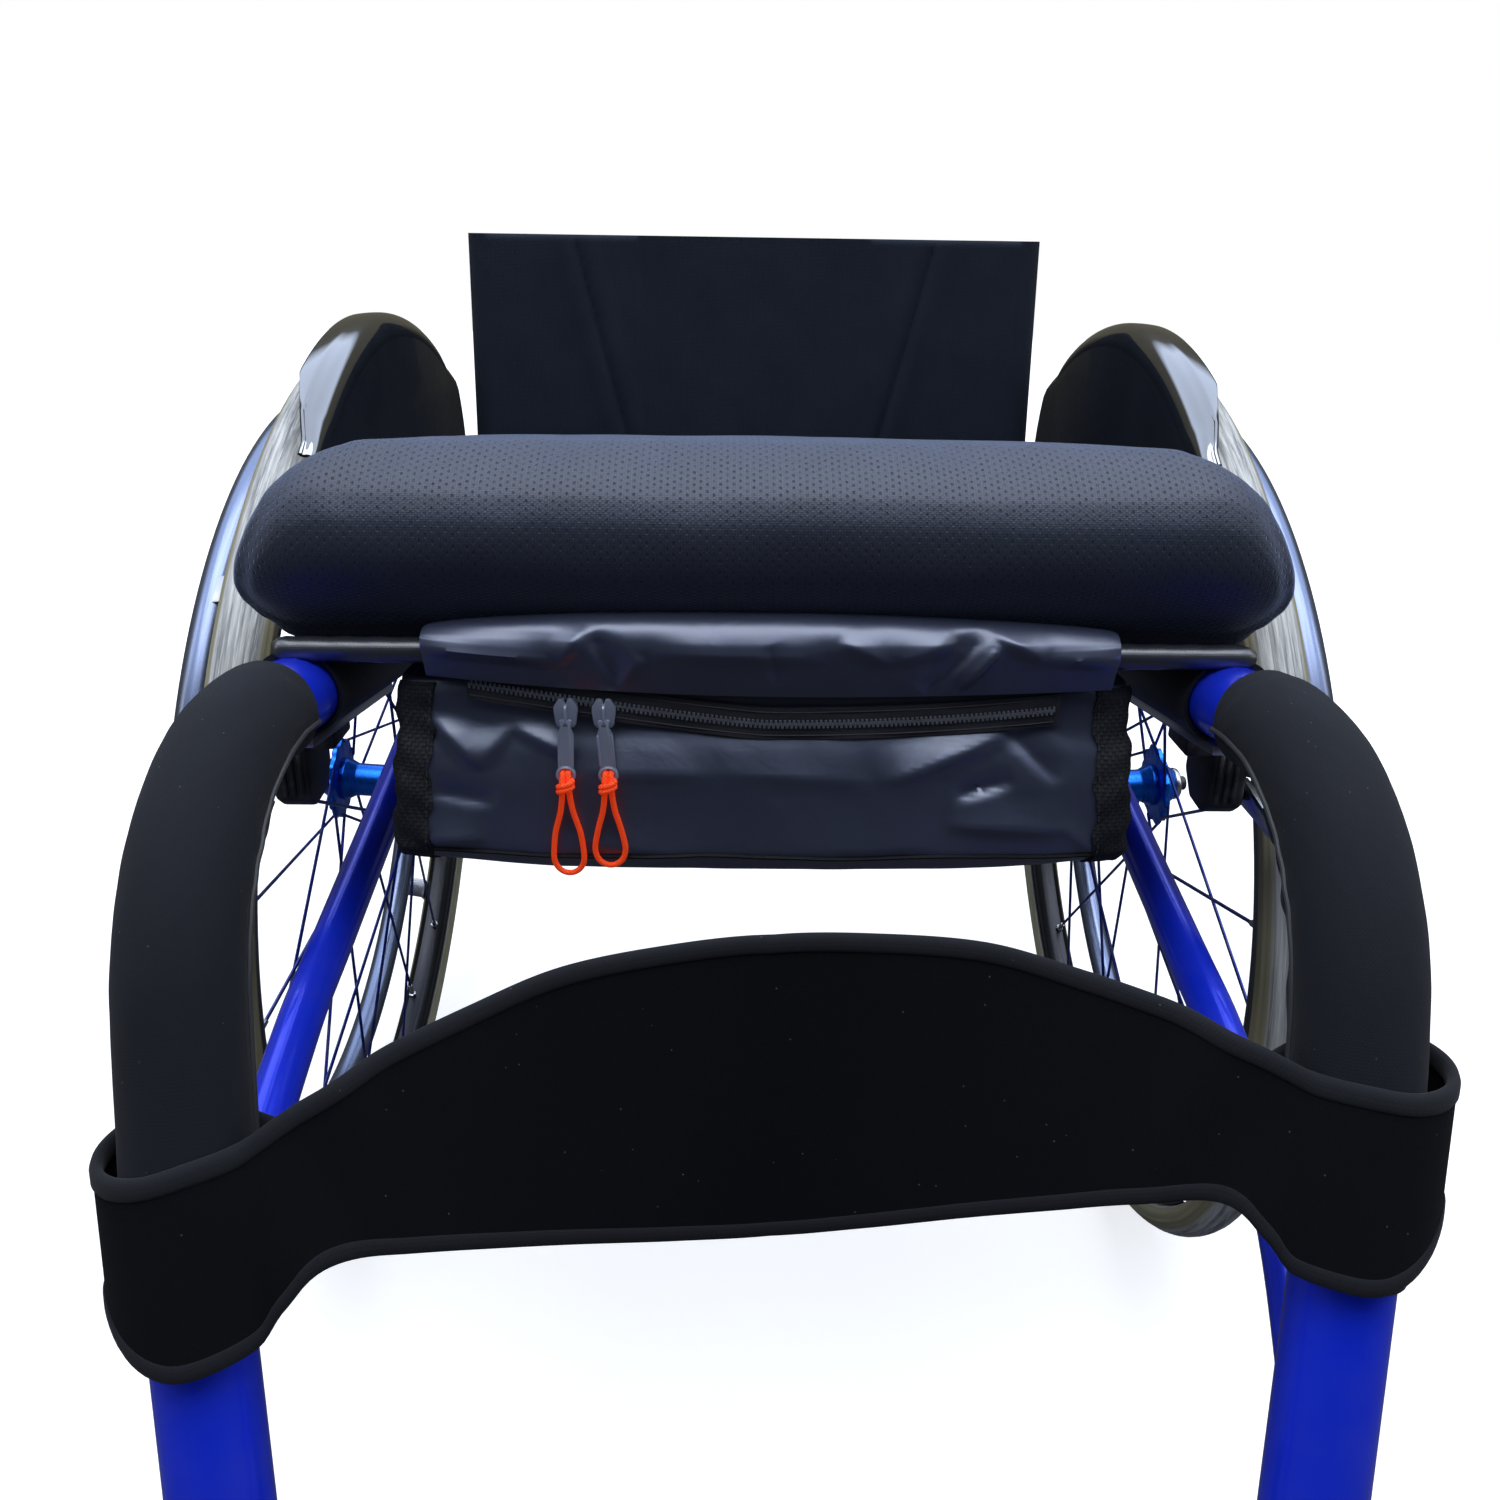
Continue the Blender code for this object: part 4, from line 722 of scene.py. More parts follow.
def sewn(obj, fill=False):
    """Closes the seam where two edges of the cut meet, and on request the open ends."""
    edit(obj)
    bpy.ops.mesh.remove_doubles(threshold=0.05 * MM)
    if fill:
        bpy.ops.mesh.select_all(action="DESELECT")
        bpy.ops.mesh.select_non_manifold()
        bpy.ops.mesh.edge_face_add()
    leave(outwards=True)
    return obj


def thick(obj, thickness, offset=0.0):
    """Gives a cut its thickness, to both sides of it or to one."""
    return finish_modifier(obj, "SOLIDIFY", thickness=thickness * MM, offset=offset, use_even_offset=True)


def named(word, side):
    """The word with its side, except for what the chair has one of."""
    return word if side == 0 or word in ("chair", "backrest") else word + ("_left" if side > 0 else "_right")


def finished(name, pieces, material, body, slot, *nodes, side=0, angle=35, place=None, turning=False):
    """Joins pieces into one, with its name, place, finish, shading and body, and hides the model's parts it
    stands for.
    """
    obj = joined(pieces)
    obj.name = obj.data.name = named(name, side)
    if turning:
        kept = obj.data.attributes.new("turning", "FLOAT_VECTOR", "POINT")
        flat = [0.0] * (3 * len(obj.data.vertices))
        obj.data.vertices.foreach_get("co", flat)
        kept.data.foreach_set("vector", flat)
    if place is not None:
        obj.data.transform(place)
    obj.data.materials.clear()
    obj.data.materials.append(material)
    alone(obj)
    bpy.ops.object.shade_smooth_by_angle(angle=radians(angle))
    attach(obj, named(body, side))
    if nodes:
        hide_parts(*(named(word, side) for word in nodes))
    return obj


def at_axle(point):
    """From coordinates measured from the floor under the axle to the chair's own."""
    return Vector((point[0], point[1] + AXLE_Y, point[2]))


def moved(point):
    return Matrix.Translation(Vector(point) * MM)


def facing(point, along):
    """The place of a turned shape whose X axis points along a direction."""
    return moved(point) @ along.to_track_quat("X", "Z").to_matrix().to_4x4()


def wheel_place(side):
    """The hub's own frame: X points outwards along the cambered axle."""
    turn = Matrix.Rotation(0 if side > 0 else pi, 4, "Z") @ Matrix.Rotation(-CAMBER, 4, "Y")
    return moved(at_axle((side * WHEEL_X, 0, AXLE_Z))) @ turn


def clamp_ring(centre, along, inner, outer, half):
    """Split clamp: a ring with rounded edges round a tube."""
    return softened(turned([(-half, inner), (-half, outer), (half, outer), (half, inner)],
                           place=facing(centre, along)), 1.2)


def socket_screw(place, along, radius, length):
    """Cap screw head with a hexagon socket."""
    place, along = Vector(place), Vector(along)
    hole = rod(place + along * length * 0.45, place + along * length * 1.5, radius * 0.52, 6)
    return cut_with(rod(place, place + along * length, radius, 28), hole)


# Wheels

TYRE_R = 303
TYRE_HALF = 15
RIM_R = 283
RIM_HALF = 11
RIM_DEEP = 265
HANDRIM_R = 255.5
HANDRIM_TUBE = 9.5
HANDRIM_OUT = 32
HANDRIM_TABS = 6
SPOKES = 24
SPOKE_R = 1.1
FLANGE_R = 29
FLANGE_OUT = 25
HUB_R = 14.5
HUB_HALF = 36
PIN_R = 6.3
LACING = radians(68)


def make_tyre(side, place):
    """Round tyre with three shallow grooves round its tread and a bead line at the rim."""
    profile = [(-8, RIM_R + GAP), (8, RIM_R + GAP), (11, RIM_R + 1.2)]
    for t in (pi * i / 60 for i in range(61)):
        off = min(abs(cos(t) - groove) for groove in (-0.36, 0.0, 0.36))
        dip = 0.9 * max(0.0, 1 - off / 0.07)
        rib = 0.25 * abs(sin(t * 26)) if sin(t) > 0.62 else 0.0
        line = 0.5 if abs(abs(cos(t)) - 0.93) < 0.03 else 0.0
        r = TYRE_HALF - dip - rib + line
        profile.append((r * cos(t), TYRE_R - TYRE_HALF + r * sin(t)))
    carcass = turned(profile + [(-11, RIM_R + 1.2)], 160)
    finished("tyre_carcass", [carcass], TYRE, "wheel", "tyre_grey", "tyre", side=side, angle=50, place=place,
             turning=True)


def make_rim(side, place):
    """Box rim with hooked edges and a shallow waist on its flanks."""
    well = RIM_HALF - 2.2
    half = [(5.5, RIM_DEEP), (9.6, RIM_DEEP + 3.5), (RIM_HALF - 0.8, RIM_DEEP + 8), (RIM_HALF - 0.8, RIM_R - 7),
            (RIM_HALF, RIM_R - 6), (RIM_HALF, RIM_R - 0.3), (well, RIM_R - 0.3), (well, RIM_R - 2),
            (well + 0.8, RIM_R - 3), (well - 1, RIM_R - 6)]
    hoop = softened(turned(half + [(-x, r) for x, r in reversed(half)], 160), 0.5, 2, 25)
    finished("rim_hoop", [hoop], RIM_BLACK, "wheel", "rim_black", "rim", side=side, place=place, turning=True)


def make_hub(side, place):
    """Waisted hub shell between two lobed flanges."""
    shell = [(-HUB_HALF, PIN_R + GAP), (-HUB_HALF, 10.5), (-HUB_HALF + 1.5, 11.5), (-FLANGE_OUT - 6, HUB_R),
             (-FLANGE_OUT + 5, HUB_R + 0.6), (-FLANGE_OUT + 12, HUB_R - 3), (FLANGE_OUT - 12, HUB_R - 3),
             (FLANGE_OUT - 5, HUB_R + 0.6), (FLANGE_OUT + 6, HUB_R), (HUB_HALF - 1.5, 12.5), (HUB_HALF, 11.5),
             (HUB_HALF, PIN_R + GAP)]
    parts = [softened(turned(shell), 0.8, 2, 20)]
    rim = [(2.2, HUB_R - 2), (2.0, FLANGE_R - 2), (1.2, FLANGE_R)]
    for way in (-1, 1):
        x = way * FLANGE_OUT
        disc = turned([(x - a, r) for a, r in rim] + [(x + a, r) for a, r in reversed(rim)], 144)
        for spot in disc.data.vertices:
            radius = hypot(spot.co.y, spot.co.z) / MM
            lobe = 0.5 - 0.5 * cos(12 * atan2(spot.co.y, spot.co.z) + pi * way / 2)
            spot.co.yz *= 1 - 0.085 * lobe * max(0.0, (radius - 22) / 7)
        parts.append(disc)
    finished("hub_shell", parts, HUB_BLUE, "wheel", "anodised_blue", "hub", side=side, place=place,
             turning=True)


def make_spokes(side, place):
    """Crossed spokes with the nipples that hold them in the rim."""
    spokes, nipples = [], []
    for i in range(SPOKES):
        outer = 1 if i % 2 else -1
        way = 1 if i % 4 < 2 else -1
        at_rim = 2 * pi * (i + 0.5) / SPOKES
        at_hub = at_rim + way * LACING
        root = FLANGE_R - 3
        start = Vector((outer * FLANGE_OUT + way * 1.6, root * sin(at_hub), root * cos(at_hub)))
        end = Vector((outer * 3, RIM_DEEP * sin(at_rim), RIM_DEEP * cos(at_rim)))
        along = (end - start).normalized()
        bend = Vector((-way * outer * 2.6, 0, 0))
        spokes.append(swept([start + bend, start + bend * 0.3, start + along * 1.5, end], SPOKE_R, 8))
        nipples.append(swept([end + along * run for run in (-12, -11.5, -3, -2.5, 0.6)],
                             [1.5, 1.9, 2.0, 3.1, 3.3], 8))
    finished("spokes", spokes, SPOKE_BLUE, "wheel", "anodised_blue", side=side, place=place)
    finished("spoke_nipples", nipples, RAW_STEEL, "wheel", "silver", side=side, place=place)


def make_handrim(side, place):
    """Push ring on folded tabs, each tab bolted to the flank of the rim."""
    bpy.ops.object.select_all(action="DESELECT")
    bpy.ops.mesh.primitive_torus_add(major_radius=HANDRIM_R * MM, minor_radius=HANDRIM_TUBE * MM,
                                     major_segments=160, minor_segments=24, rotation=(0, pi / 2, 0))
    ring = bpy.context.object
    bpy.ops.object.transform_apply()
    ring.data.transform(moved((HANDRIM_OUT, 0, 0)))
    finished("push_ring", [ring], HANDRIM_GREY, "wheel", "silver", "handrim", side=side, place=place,
             turning=True)
    turns = [Matrix.Rotation(2 * pi * (i + 0.25) / HANDRIM_TABS, 4, "X") for i in range(HANDRIM_TABS)]
    strip = [(RIM_HALF + GAP, RIM_R - 16), (RIM_HALF + GAP, RIM_R - 5), (RIM_HALF + 2.6, RIM_R - 5),
             (RIM_HALF + 3.4, RIM_R - 12), (HANDRIM_OUT - 3, HANDRIM_R + 9.5), (HANDRIM_OUT + 2, HANDRIM_R + 8),
             (HANDRIM_OUT - 1, HANDRIM_R + 4), (RIM_HALF + 2, RIM_R - 17)]
    tab = softened(prism([(x, -8, r) for x, r in strip], (0, 16, 0)), 0.9)
    finished("push_ring_tabs", copied(tab, turns), RAW_STEEL, "wheel", "silver", side=side, place=place)
    r = RIM_R - 9.5
    head = cut_with(rod((RIM_HALF + 2.2, 0, r), (RIM_HALF + 6, 0, r), 3.4, 20),
                    rod((RIM_HALF + 4, 0, r), (RIM_HALF + 8, 0, r), 1.7, 6))
    finished("tab_screws", copied(head, turns), BLACK_COAT, "wheel", "black_metal", side=side, place=place)


def make_axle_parts(side, place):
    """Quick release pin with its dished head, a ball at its inner end and the push button."""
    inner = -HUB_HALF - 30
    outer = HUB_HALF + GAP
    pin = turned([(inner, 1.2), (inner, PIN_R - 1.5), (inner + 1.6, PIN_R), (outer, PIN_R), (outer, 11),
                  (outer + 1.2, 11.5), (outer + 4, 10.6), (outer + 5, 9), (outer + 4.2, 5.3), (outer + 1, 5.3),
                  (outer + 1, 1.2)])
    finished("quick_release_pin", [softened(pin, 0.3, 2, 25)], TURNED_STEEL, "chair", "silver", "axle_pin",
             side=side, place=place, turning=True)
    start = HUB_HALF + 4.5
    knob = turned([(start, 0.5), (start, 5), (start + 4.6, 5), (start + 5.6, 4.2), (start + 5.2, 2.6),
                   (start + 5.0, 0.5)], 48)
    finished("release_button", [knob], BLACK_PLASTIC, "button", "black_plastic", "axle_button", side=side,
             place=place)


def make_valve(side, place):
    """Tube valve through the rim, with its cap pointing to the hub."""
    stem = swept([(0, 0, z - RIM_DEEP) for z in (2, 22)], 2.9, 16)
    cap = swept([(0, 0, z - RIM_DEEP) for z in (20, 21, 31, 33)], [3.6, 4.0, 3.8, 2.0], 16)
    finished("valve", [cap, stem], BLACK_PLASTIC, "wheel", "black_plastic", side=side, place=place)


def make_wheels():
    for side in SIDES:
        for make in (make_tyre, make_rim, make_hub, make_spokes, make_handrim, make_axle_parts, make_valve):
            make(side, wheel_place(side))


# Frame

RAIL_X = 203
TUBE_R = 17
RAIL_RISE = 0.15
RAIL_Z = 431.5
RAIL_BACK = 158
RAIL_WAY = Vector((0, 1, -RAIL_RISE)).normalized()
ACROSS = Vector((1, 0, 0))
LEG_LEAN = 0.42
LEG_TAPER = 0.14
LEG_POINT = (185, -525, 300)
LEG_END_Z = 132
KNEE_R = 110
CLAMP_R = 20.8
SLEEVE_START = -347
SLEEVE_END_Z = 345
SLEEVE_WALL = 4.2
LOWER_R = 10
LOWER_X = 207
AXLE_TUBE_HALF = 221
AXLE_TUBE_Z = 298
CASTOR_X = 178
CASTOR_Y = -478
CASTOR_R = 50
CASTOR_HALF = 13
CORE_R = 38
TRAIL = 36


def rail_z(y):
    return RAIL_Z - RAIL_RISE * y


def leg_at(side, z):
    x, y, zero = LEG_POINT
    return Vector((side * (x + LEG_TAPER * (z - zero)), y + LEG_LEAN * (z - zero), z))


def knee_points(side, count=26):
    """The main tube's run under the sleeve: the end of the rail, the bend and the top of the leg."""
    z = RAIL_Z
    for _ in range(20):
        y = LEG_POINT[1] + LEG_LEAN * (z - LEG_POINT[2])
        z = rail_z(y)
    knee = Vector((side * RAIL_X, y, z))
    back = Vector((side * RAIL_X, SLEEVE_START, rail_z(SLEEVE_START)))
    foot = leg_at(side, SLEEVE_END_Z)
    to_back = (back - knee).normalized()
    to_foot = (foot - knee).normalized()
    half = to_back.angle(to_foot) / 2
    centre = knee + (to_back + to_foot).normalized() * KNEE_R / sin(half)
    start = knee + to_back * KNEE_R / tan(half) - centre
    end = knee + to_foot * KNEE_R / tan(half) - centre
    angle = start.angle(end)
    bend = []
    for t in (i / count for i in range(count + 1)):
        bend.append(centre + (start * sin((1 - t) * angle) + end * sin(t * angle)) / sin(angle))
    return [back] + bend + [bend[-1].lerp(foot, 0.5), foot]


def weld(place, along, radius):
    """A rippled bead of weld round a tube."""
    turn = along.to_track_quat("X", "Z").to_matrix()
    path = []
    for i in range(72):
        t = 2 * pi * i / 72
        high = radius + 0.5 * (i % 2)
        path.append(place + turn @ Vector((0.4 * sin(3 * t), high * sin(t), high * cos(t))))
    return swept(path, 1.9, 8, closed=True)


def make_side_frame(side):
    """Bent main tube, lower tube, castor arm and castor head with their welds."""
    back = Vector((side * RAIL_X, RAIL_BACK, rail_z(RAIL_BACK)))
    path = [at_axle(p) for p in [back] + knee_points(side) + [leg_at(side, LEG_END_Z)]]
    end = path[-1]
    down = (at_axle(leg_at(side, LEG_END_Z - 20)) - end).normalized()
    main = cut_with(swept(path, TUBE_R, 40), rod(end - down * 60, end + down * 20, 13))
    softened(main, 0.8, 2, 50)
    line = ((RAIL_X, 38, 424.5), (LOWER_X, -60, 391), (LOWER_X, -150, 372.4), (LOWER_X, -290, 346.6),
            (LOWER_X, -355, 334), (LOWER_X - 5, -440, 313))
    lower = smooth_line([at_axle((side * x, y, z)) for x, y, z in line] + [at_axle(leg_at(side, 287))], 8)
    arm = at_axle(leg_at(side, 148))
    head = at_axle((side * CASTOR_X, CASTOR_Y, 148))
    outline = [(113.5, 6.6), (113.5, 14.6), (115, 16), (122, 16), (123, 15), (157, 15), (158, 16), (165, 16),
               (166, 14.8), (166, 6.6)]
    housing = turned(outline, 64, moved((head.x, head.y, 0)) @ Matrix.Rotation(-pi / 2, 4, "Y"))
    fore = (lower[-1] - lower[-4]).normalized()
    rear = (lower[0] - lower[3]).normalized()
    over = (head - arm).normalized()
    beads = [weld(lower[-1] - fore * 18.5, fore, LOWER_R + 0.6),
             weld(lower[0] - rear * 40, rear, LOWER_R + 0.6), weld(arm + over * 17, over, 11.6)]
    finished("welded_tubes", [main, swept(lower, LOWER_R, 28), swept([arm, head], 11, 28), housing] + beads,
             FRAME_BLUE, "chair", "frame_blue", "side_frame", side=side)
    middle = end - down * 12
    inner, outer = TUBE_R + 0.2, TUBE_R + 3
    collar = softened(turned([(-7, inner), (-7, outer), (7, outer), (7, inner)], 56, facing(middle, down)), 1)
    lug, screw = (rod(middle + Vector((-side * x, 17, 0)), middle + Vector((side * x, 17, 0)), radius, 20)
                  for x, radius in ((9, 5.5), (12.5, 3.4)))
    finished("footrest_collar", [collar, lug], BLACK_COAT, "chair", "black_metal", side=side)
    finished("collar_screw", [screw], RAW_STEEL, "chair", "silver", side=side)
    cap = turned([(-16, 0.6), (-16, 14), (0.2, 14.4), (0.3, TUBE_R - 0.2), (1.6, TUBE_R - 0.2), (3, TUBE_R - 2),
                  (3.2, 0.6)], 48, facing(path[0], (path[0] - path[1]).normalized()))
    finished("rail_cap", [cap], BLACK_PLASTIC, "chair", "black_plastic", "rail_plug", side=side)


def make_cross_tube():
    """Axle tube with a counterbore at each end."""
    wall = 8.6
    end = AXLE_TUBE_HALF
    half = [(end - 1, TUBE_R), (end, TUBE_R - 1), (end, wall), (end - 12, wall), (end - 12, 1)]
    tube = turned(half + [(-x, r) for x, r in reversed(half)], 72)
    finished("cross_tube", [tube], HUB_BLUE, "chair", "anodised_blue", "axle_tube", turning=True,
             place=moved(at_axle((0, 0, AXLE_TUBE_Z))))


def make_upright(side):
    """Machined plate that clamps the axle tube under the seat rail, with its four screws."""
    y_top = 78
    z_top = rail_z(y_top)
    outline = [(y_top - 18, z_top - 5), (-23, AXLE_TUBE_Z + 2), (22, AXLE_TUBE_Z - 4),
               (y_top + 18, z_top - 5)]
    pocket = [(y_top * 0.42 - 9, z_top - 46), (y_top * 0.2 - 9, AXLE_TUBE_Z + 42),
              (y_top * 0.2 + 9, AXLE_TUBE_Z + 42), (y_top * 0.72 + 8, z_top - 46),
              (y_top * 0.8 + 4, z_top - 34), (y_top * 0.8 - 14, z_top - 34)]
    web = cut_with(plate([(y + AXLE_Y, z) for y, z in outline], 196, 210, side),
                   plate([(y + AXLE_Y, z) for y, z in pocket], 180, 230, side))
    softened(web, 1.5)
    clamps = [clamp_ring(at_axle((side * RAIL_X, y_top, z_top)), RAIL_WAY, TUBE_R + GAP, CLAMP_R, 15),
              clamp_ring(at_axle((side * RAIL_X, 0, AXLE_TUBE_Z)), ACROSS, TUBE_R + GAP, 24, 14)]
    finished("axle_clamp", [web] + clamps, BLACK_COAT, "chair", "black_metal", "axle_upright", side=side)
    screws = []
    for y, z in ((-27, AXLE_TUBE_Z + 8), (27, AXLE_TUBE_Z - 2)):
        for shift in (-7, 7):
            spot = at_axle((side * RAIL_X + shift, y * 0.82, z - 4))
            screws.append(socket_screw(spot, (0, 0, -1), 3.6, 12))
    finished("axle_clamp_screws", screws, RAW_STEEL, "chair", "silver", side=side)


def make_castor(side):
    """Fork, spoked wheel, tyre and through bolt of one castor."""
    stem = at_axle((side * CASTOR_X, CASTOR_Y, 0))
    place = moved(stem)
    upright = Matrix.Rotation(-pi / 2, 4, "Y")
    low = 2 * CASTOR_R + 3
    high = low + 8
    inside = CASTOR_HALF + 2.5
    outside = inside + 5
    outline = [(-15, high), (12, high), (22, low - 4), (TRAIL + 9, CASTOR_R + 6)]
    outline += [(TRAIL + b, CASTOR_R + a) for a, b in arc(9, 90, 270, 12)]
    outline += [(TRAIL - 10, CASTOR_R + 8), (6, low - 12), (-15, low)]
    cheeks = [softened(plate(outline, *ends), 1.3) for ends in ((-outside, -inside), (inside, outside))]
    crown = turned([(low, 1), (low, 15), (high - 1, 15), (high, 13.6), (high + 1.4, 8), (high + 1.4, 6.2),
                    (168, 6.2), (168, 1)], 56, upright)
    bridge = softened(plate([(-15, low), (12, low), (12, high), (-15, high)], -outside, outside), 2, 3)
    cover = turned([(166.6, 1), (166.6, 12), (169.4, 12), (171, 9.5), (171, 1)], 48, upright)
    finished("fork", cheeks + [crown, bridge], BLACK_COAT, "swivel", "black_metal", "castor_fork", side=side,
             place=place)
    finished("stem_cover", [cover], BLACK_PLASTIC, "swivel", "black_plastic", side=side, place=place)
    place = moved(stem + Vector((0, TRAIL, CASTOR_R)))
    half = [(4, CORE_R - 8), (6, CORE_R - 6), (10.5, CORE_R - 3), (10.5, CORE_R)]
    hub = [(CASTOR_HALF, 4.3), (CASTOR_HALF, 10), (CASTOR_HALF - 1, 11), (6, 13), (4, 16)]
    disc = turned([(-x, r) for x, r in hub + half] + list(reversed(hub + half)), 90)
    windows = []
    for t in (2 * pi * i / 5 for i in range(5)):
        y, z = 22.5 * sin(t), 22.5 * cos(t)
        windows.append(rod((-20, y, z), (20, y, z), 5.6, 24))
    finished("castor_wheel", [cut_with(disc, *windows)], BLACK_PLASTIC, "castor", "black_metal",
             "castor_core", side=side, place=place, turning=True)
    band = [(-9.5, CORE_R + GAP), (9.5, CORE_R + GAP), (11.5, CORE_R + 2)]
    band += [(12 * cos(t), CASTOR_R - 7 + 7 * sin(t)) for t in (pi * i / 24 for i in range(25))]
    tread = turned(band + [(-11.5, CORE_R + 2)], 96)
    finished("castor_tread", [tread], CASTOR_RUBBER, "castor", "castor_black", "castor_tyre", side=side,
             place=place, turning=True)
    bolt = [socket_screw((-outside - GAP, 0, 0), (-1, 0, 0), 7.2, 4.4),
            rod((outside + GAP, 0, 0), (outside + 4.5, 0, 0), 7, 6),
            rod((-outside - 1, 0, 0), (outside + 6, 0, 0), 4, 24)]
    finished("castor_screw", bolt, RAW_STEEL, "swivel", "silver", "castor_bolt", side=side, place=place)


def make_footrest():
    """Bent footrest tube, and a ribbed plate held on it by two clamps."""
    ends = {}
    for side in SIDES:
        end = leg_at(side, LEG_END_Z)
        down = leg_at(side, LEG_END_Z - 20) - end
        low = end + down * 2.2
        x, y, z = low.x * 0.985, low.y - 3, low.z - 12
        ends[side] = [end - down * 2.8, end - down, end + down, low, Vector((x - side * 5, y, z - 2)),
                      Vector((x - side * 20, y - 1, z - 6))]
    path = [at_axle(p) for p in ends[1] + ends[-1][::-1]]
    tube = swept(smooth_line(path, 6), 12.6, 32)
    finished("footrest_bar", [tube], RAW_STEEL, "chair", "silver", "footrest_tube")
    low, high = (Vector(corner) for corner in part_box("footplate"))
    bpy.ops.object.select_all(action="DESELECT")
    bpy.ops.mesh.primitive_cube_add(size=1, location=(low + high) / 2, scale=high - low)
    deck = bpy.context.object
    bpy.ops.object.transform_apply()
    edit(deck, "DESELECT")
    bpy.ops.mesh.select_mode(type="EDGE")
    leave()
    for edge in deck.data.edges:
        a, b = (deck.data.vertices[i].co for i in edge.vertices)
        edge.select = abs(a.z - b.z) > MM
    bpy.ops.object.mode_set(mode="EDIT")
    bpy.ops.mesh.bevel(offset=16 * MM, segments=8)
    leave()
    softened(deck, 1)
    low, high = low / MM, high / MM
    ribs = []
    for i in range(13):
        x = low.x + 18 + (high.x - low.x - 36) * i / 12
        ribs.append(rod((x, low.y + 14, high.z - 0.35), (x, high.y - 14, high.z - 0.35), 1.2, 10))
    finished("foot_deck", [deck] + ribs, BLACK_PLASTIC, "chair", "black_metal", "footplate")
    clamps = [clamp_ring((side * 92, path[5].y, path[5].z), ACROSS, 12.8, 15.2, 9) for side in SIDES]
    finished("deck_clamps", clamps, BLACK_COAT, "chair", "black_metal")


# Side guards

GUARD_X = 224.6
GUARD_THICK = 2
GUARD_R = 315
GUARD_FOLD = 14
GUARD_WIDE = 24.5
GUARD_NARROW = 9.5
GUARD_FRONT = -35
GUARD_REAR = 33
GUARD_FULL = 22
GUARD_TAPER = 1.35


def round_axle(angle, radius):
    """(y, z) of a point at an angle in degrees and a radius about the axle, 0 being straight up."""
    return radius * sin(radians(angle)), AXLE_Z + radius * cos(radians(angle))


def guard_point(side, u, v):
    """The middle of the flange's sheet: u along it from the front, v from the panel out to its edge."""
    angle = GUARD_FRONT + (GUARD_REAR - GUARD_FRONT) * u
    width = max(GUARD_NARROW, GUARD_WIDE - GUARD_TAPER * max(0.0, abs(angle) - GUARD_FULL))
    width -= 5.5 * max(0.0, (u - 0.93) / 0.07)
    fold = min(GUARD_FOLD, width - 1)
    middle = GUARD_THICK / 2
    run = 3 * v
    if run < 1:
        base = GUARD_R - GUARD_FOLD - 2
        x, radius = middle, base + (GUARD_R - fold - base) * run
    elif run < 2:
        t = (run - 1) * pi / 2
        x, radius = fold - (fold - middle) * cos(t), GUARD_R - fold + (fold - middle) * sin(t)
    else:
        x, radius = fold + (width - fold) * (run - 2), GUARD_R - middle - 0.8 * (run - 2) ** 2
    radius -= 1.1 * bell(run - 1.9, 0.16) * max(0.0, 1 - 1.8 * u)
    radius -= 6 * max(0.0, (u - 0.84) / 0.16) ** 2
    return at_axle((side * (GUARD_X + x), *round_axle(angle, radius)))


def make_guard(side):
    """Side guard: a thin panel whose top edge folds outwards into a flange over the tyre."""
    tip = GUARD_R - 1.5
    angles = [GUARD_FRONT + (GUARD_REAR - GUARD_FRONT) * i / 36 for i in range(35)]
    outline = [(-170, rail_z(-170) - 6), (-180, 500), (-180, 535), round_axle(GUARD_FRONT, tip)]
    outline += [round_axle(angle, GUARD_R - GUARD_FOLD) for angle in angles]
    outline += [round_axle(GUARD_REAR, tip - 6), (176, 553), (182, 541), (187, 528), (194, 500), (196, 470),
                (190, 436), (180, rail_z(150) + 6), (105, rail_z(105) - 6)]
    panel = plate([(y + AXLE_Y, z) for y, z in outline], GUARD_X, GUARD_X + GUARD_THICK, side)
    softened(panel, 0.6)
    flange = thick(cut_cloth((360, 40), (90, 36), lambda u, v: guard_point(side, u, v)), GUARD_THICK - 0.1)
    softened(flange, 0.6, 2, 60)
    for piece in (panel, flange):
        while piece.data.uv_layers:
            piece.data.uv_layers.remove(piece.data.uv_layers[0])
    finished("fender", [panel, flange], GUARD, "chair", "guard_black", "side_guard", side=side, angle=40)
    screws = []
    for y in (78, -140):
        screws.append(socket_screw(at_axle((side * 226.4, y, rail_z(y) + 2)), (side, 0, 0), 5.6, 2.6))
        inner = at_axle((side * 224.8, y, rail_z(y) + 30))
        screws.append(rod(inner, inner - Vector((side * 1.6, 0, 0)), 4.4, 24))
    finished("guard_screws", screws, RAW_STEEL, "chair", "silver", side=side)


# Backrest frame

PIVOT_Y = 140
PIVOT_Z = 506
CANE_X = 191
CANE_R = 11
BACK_TOP_Z = 664
BACK_BOTTOM_Z = 522
RECLINE = 0.094
HINGE_Y = 130


def cane_y(z):
    return PIVOT_Y + RECLINE * (z - PIVOT_Z)


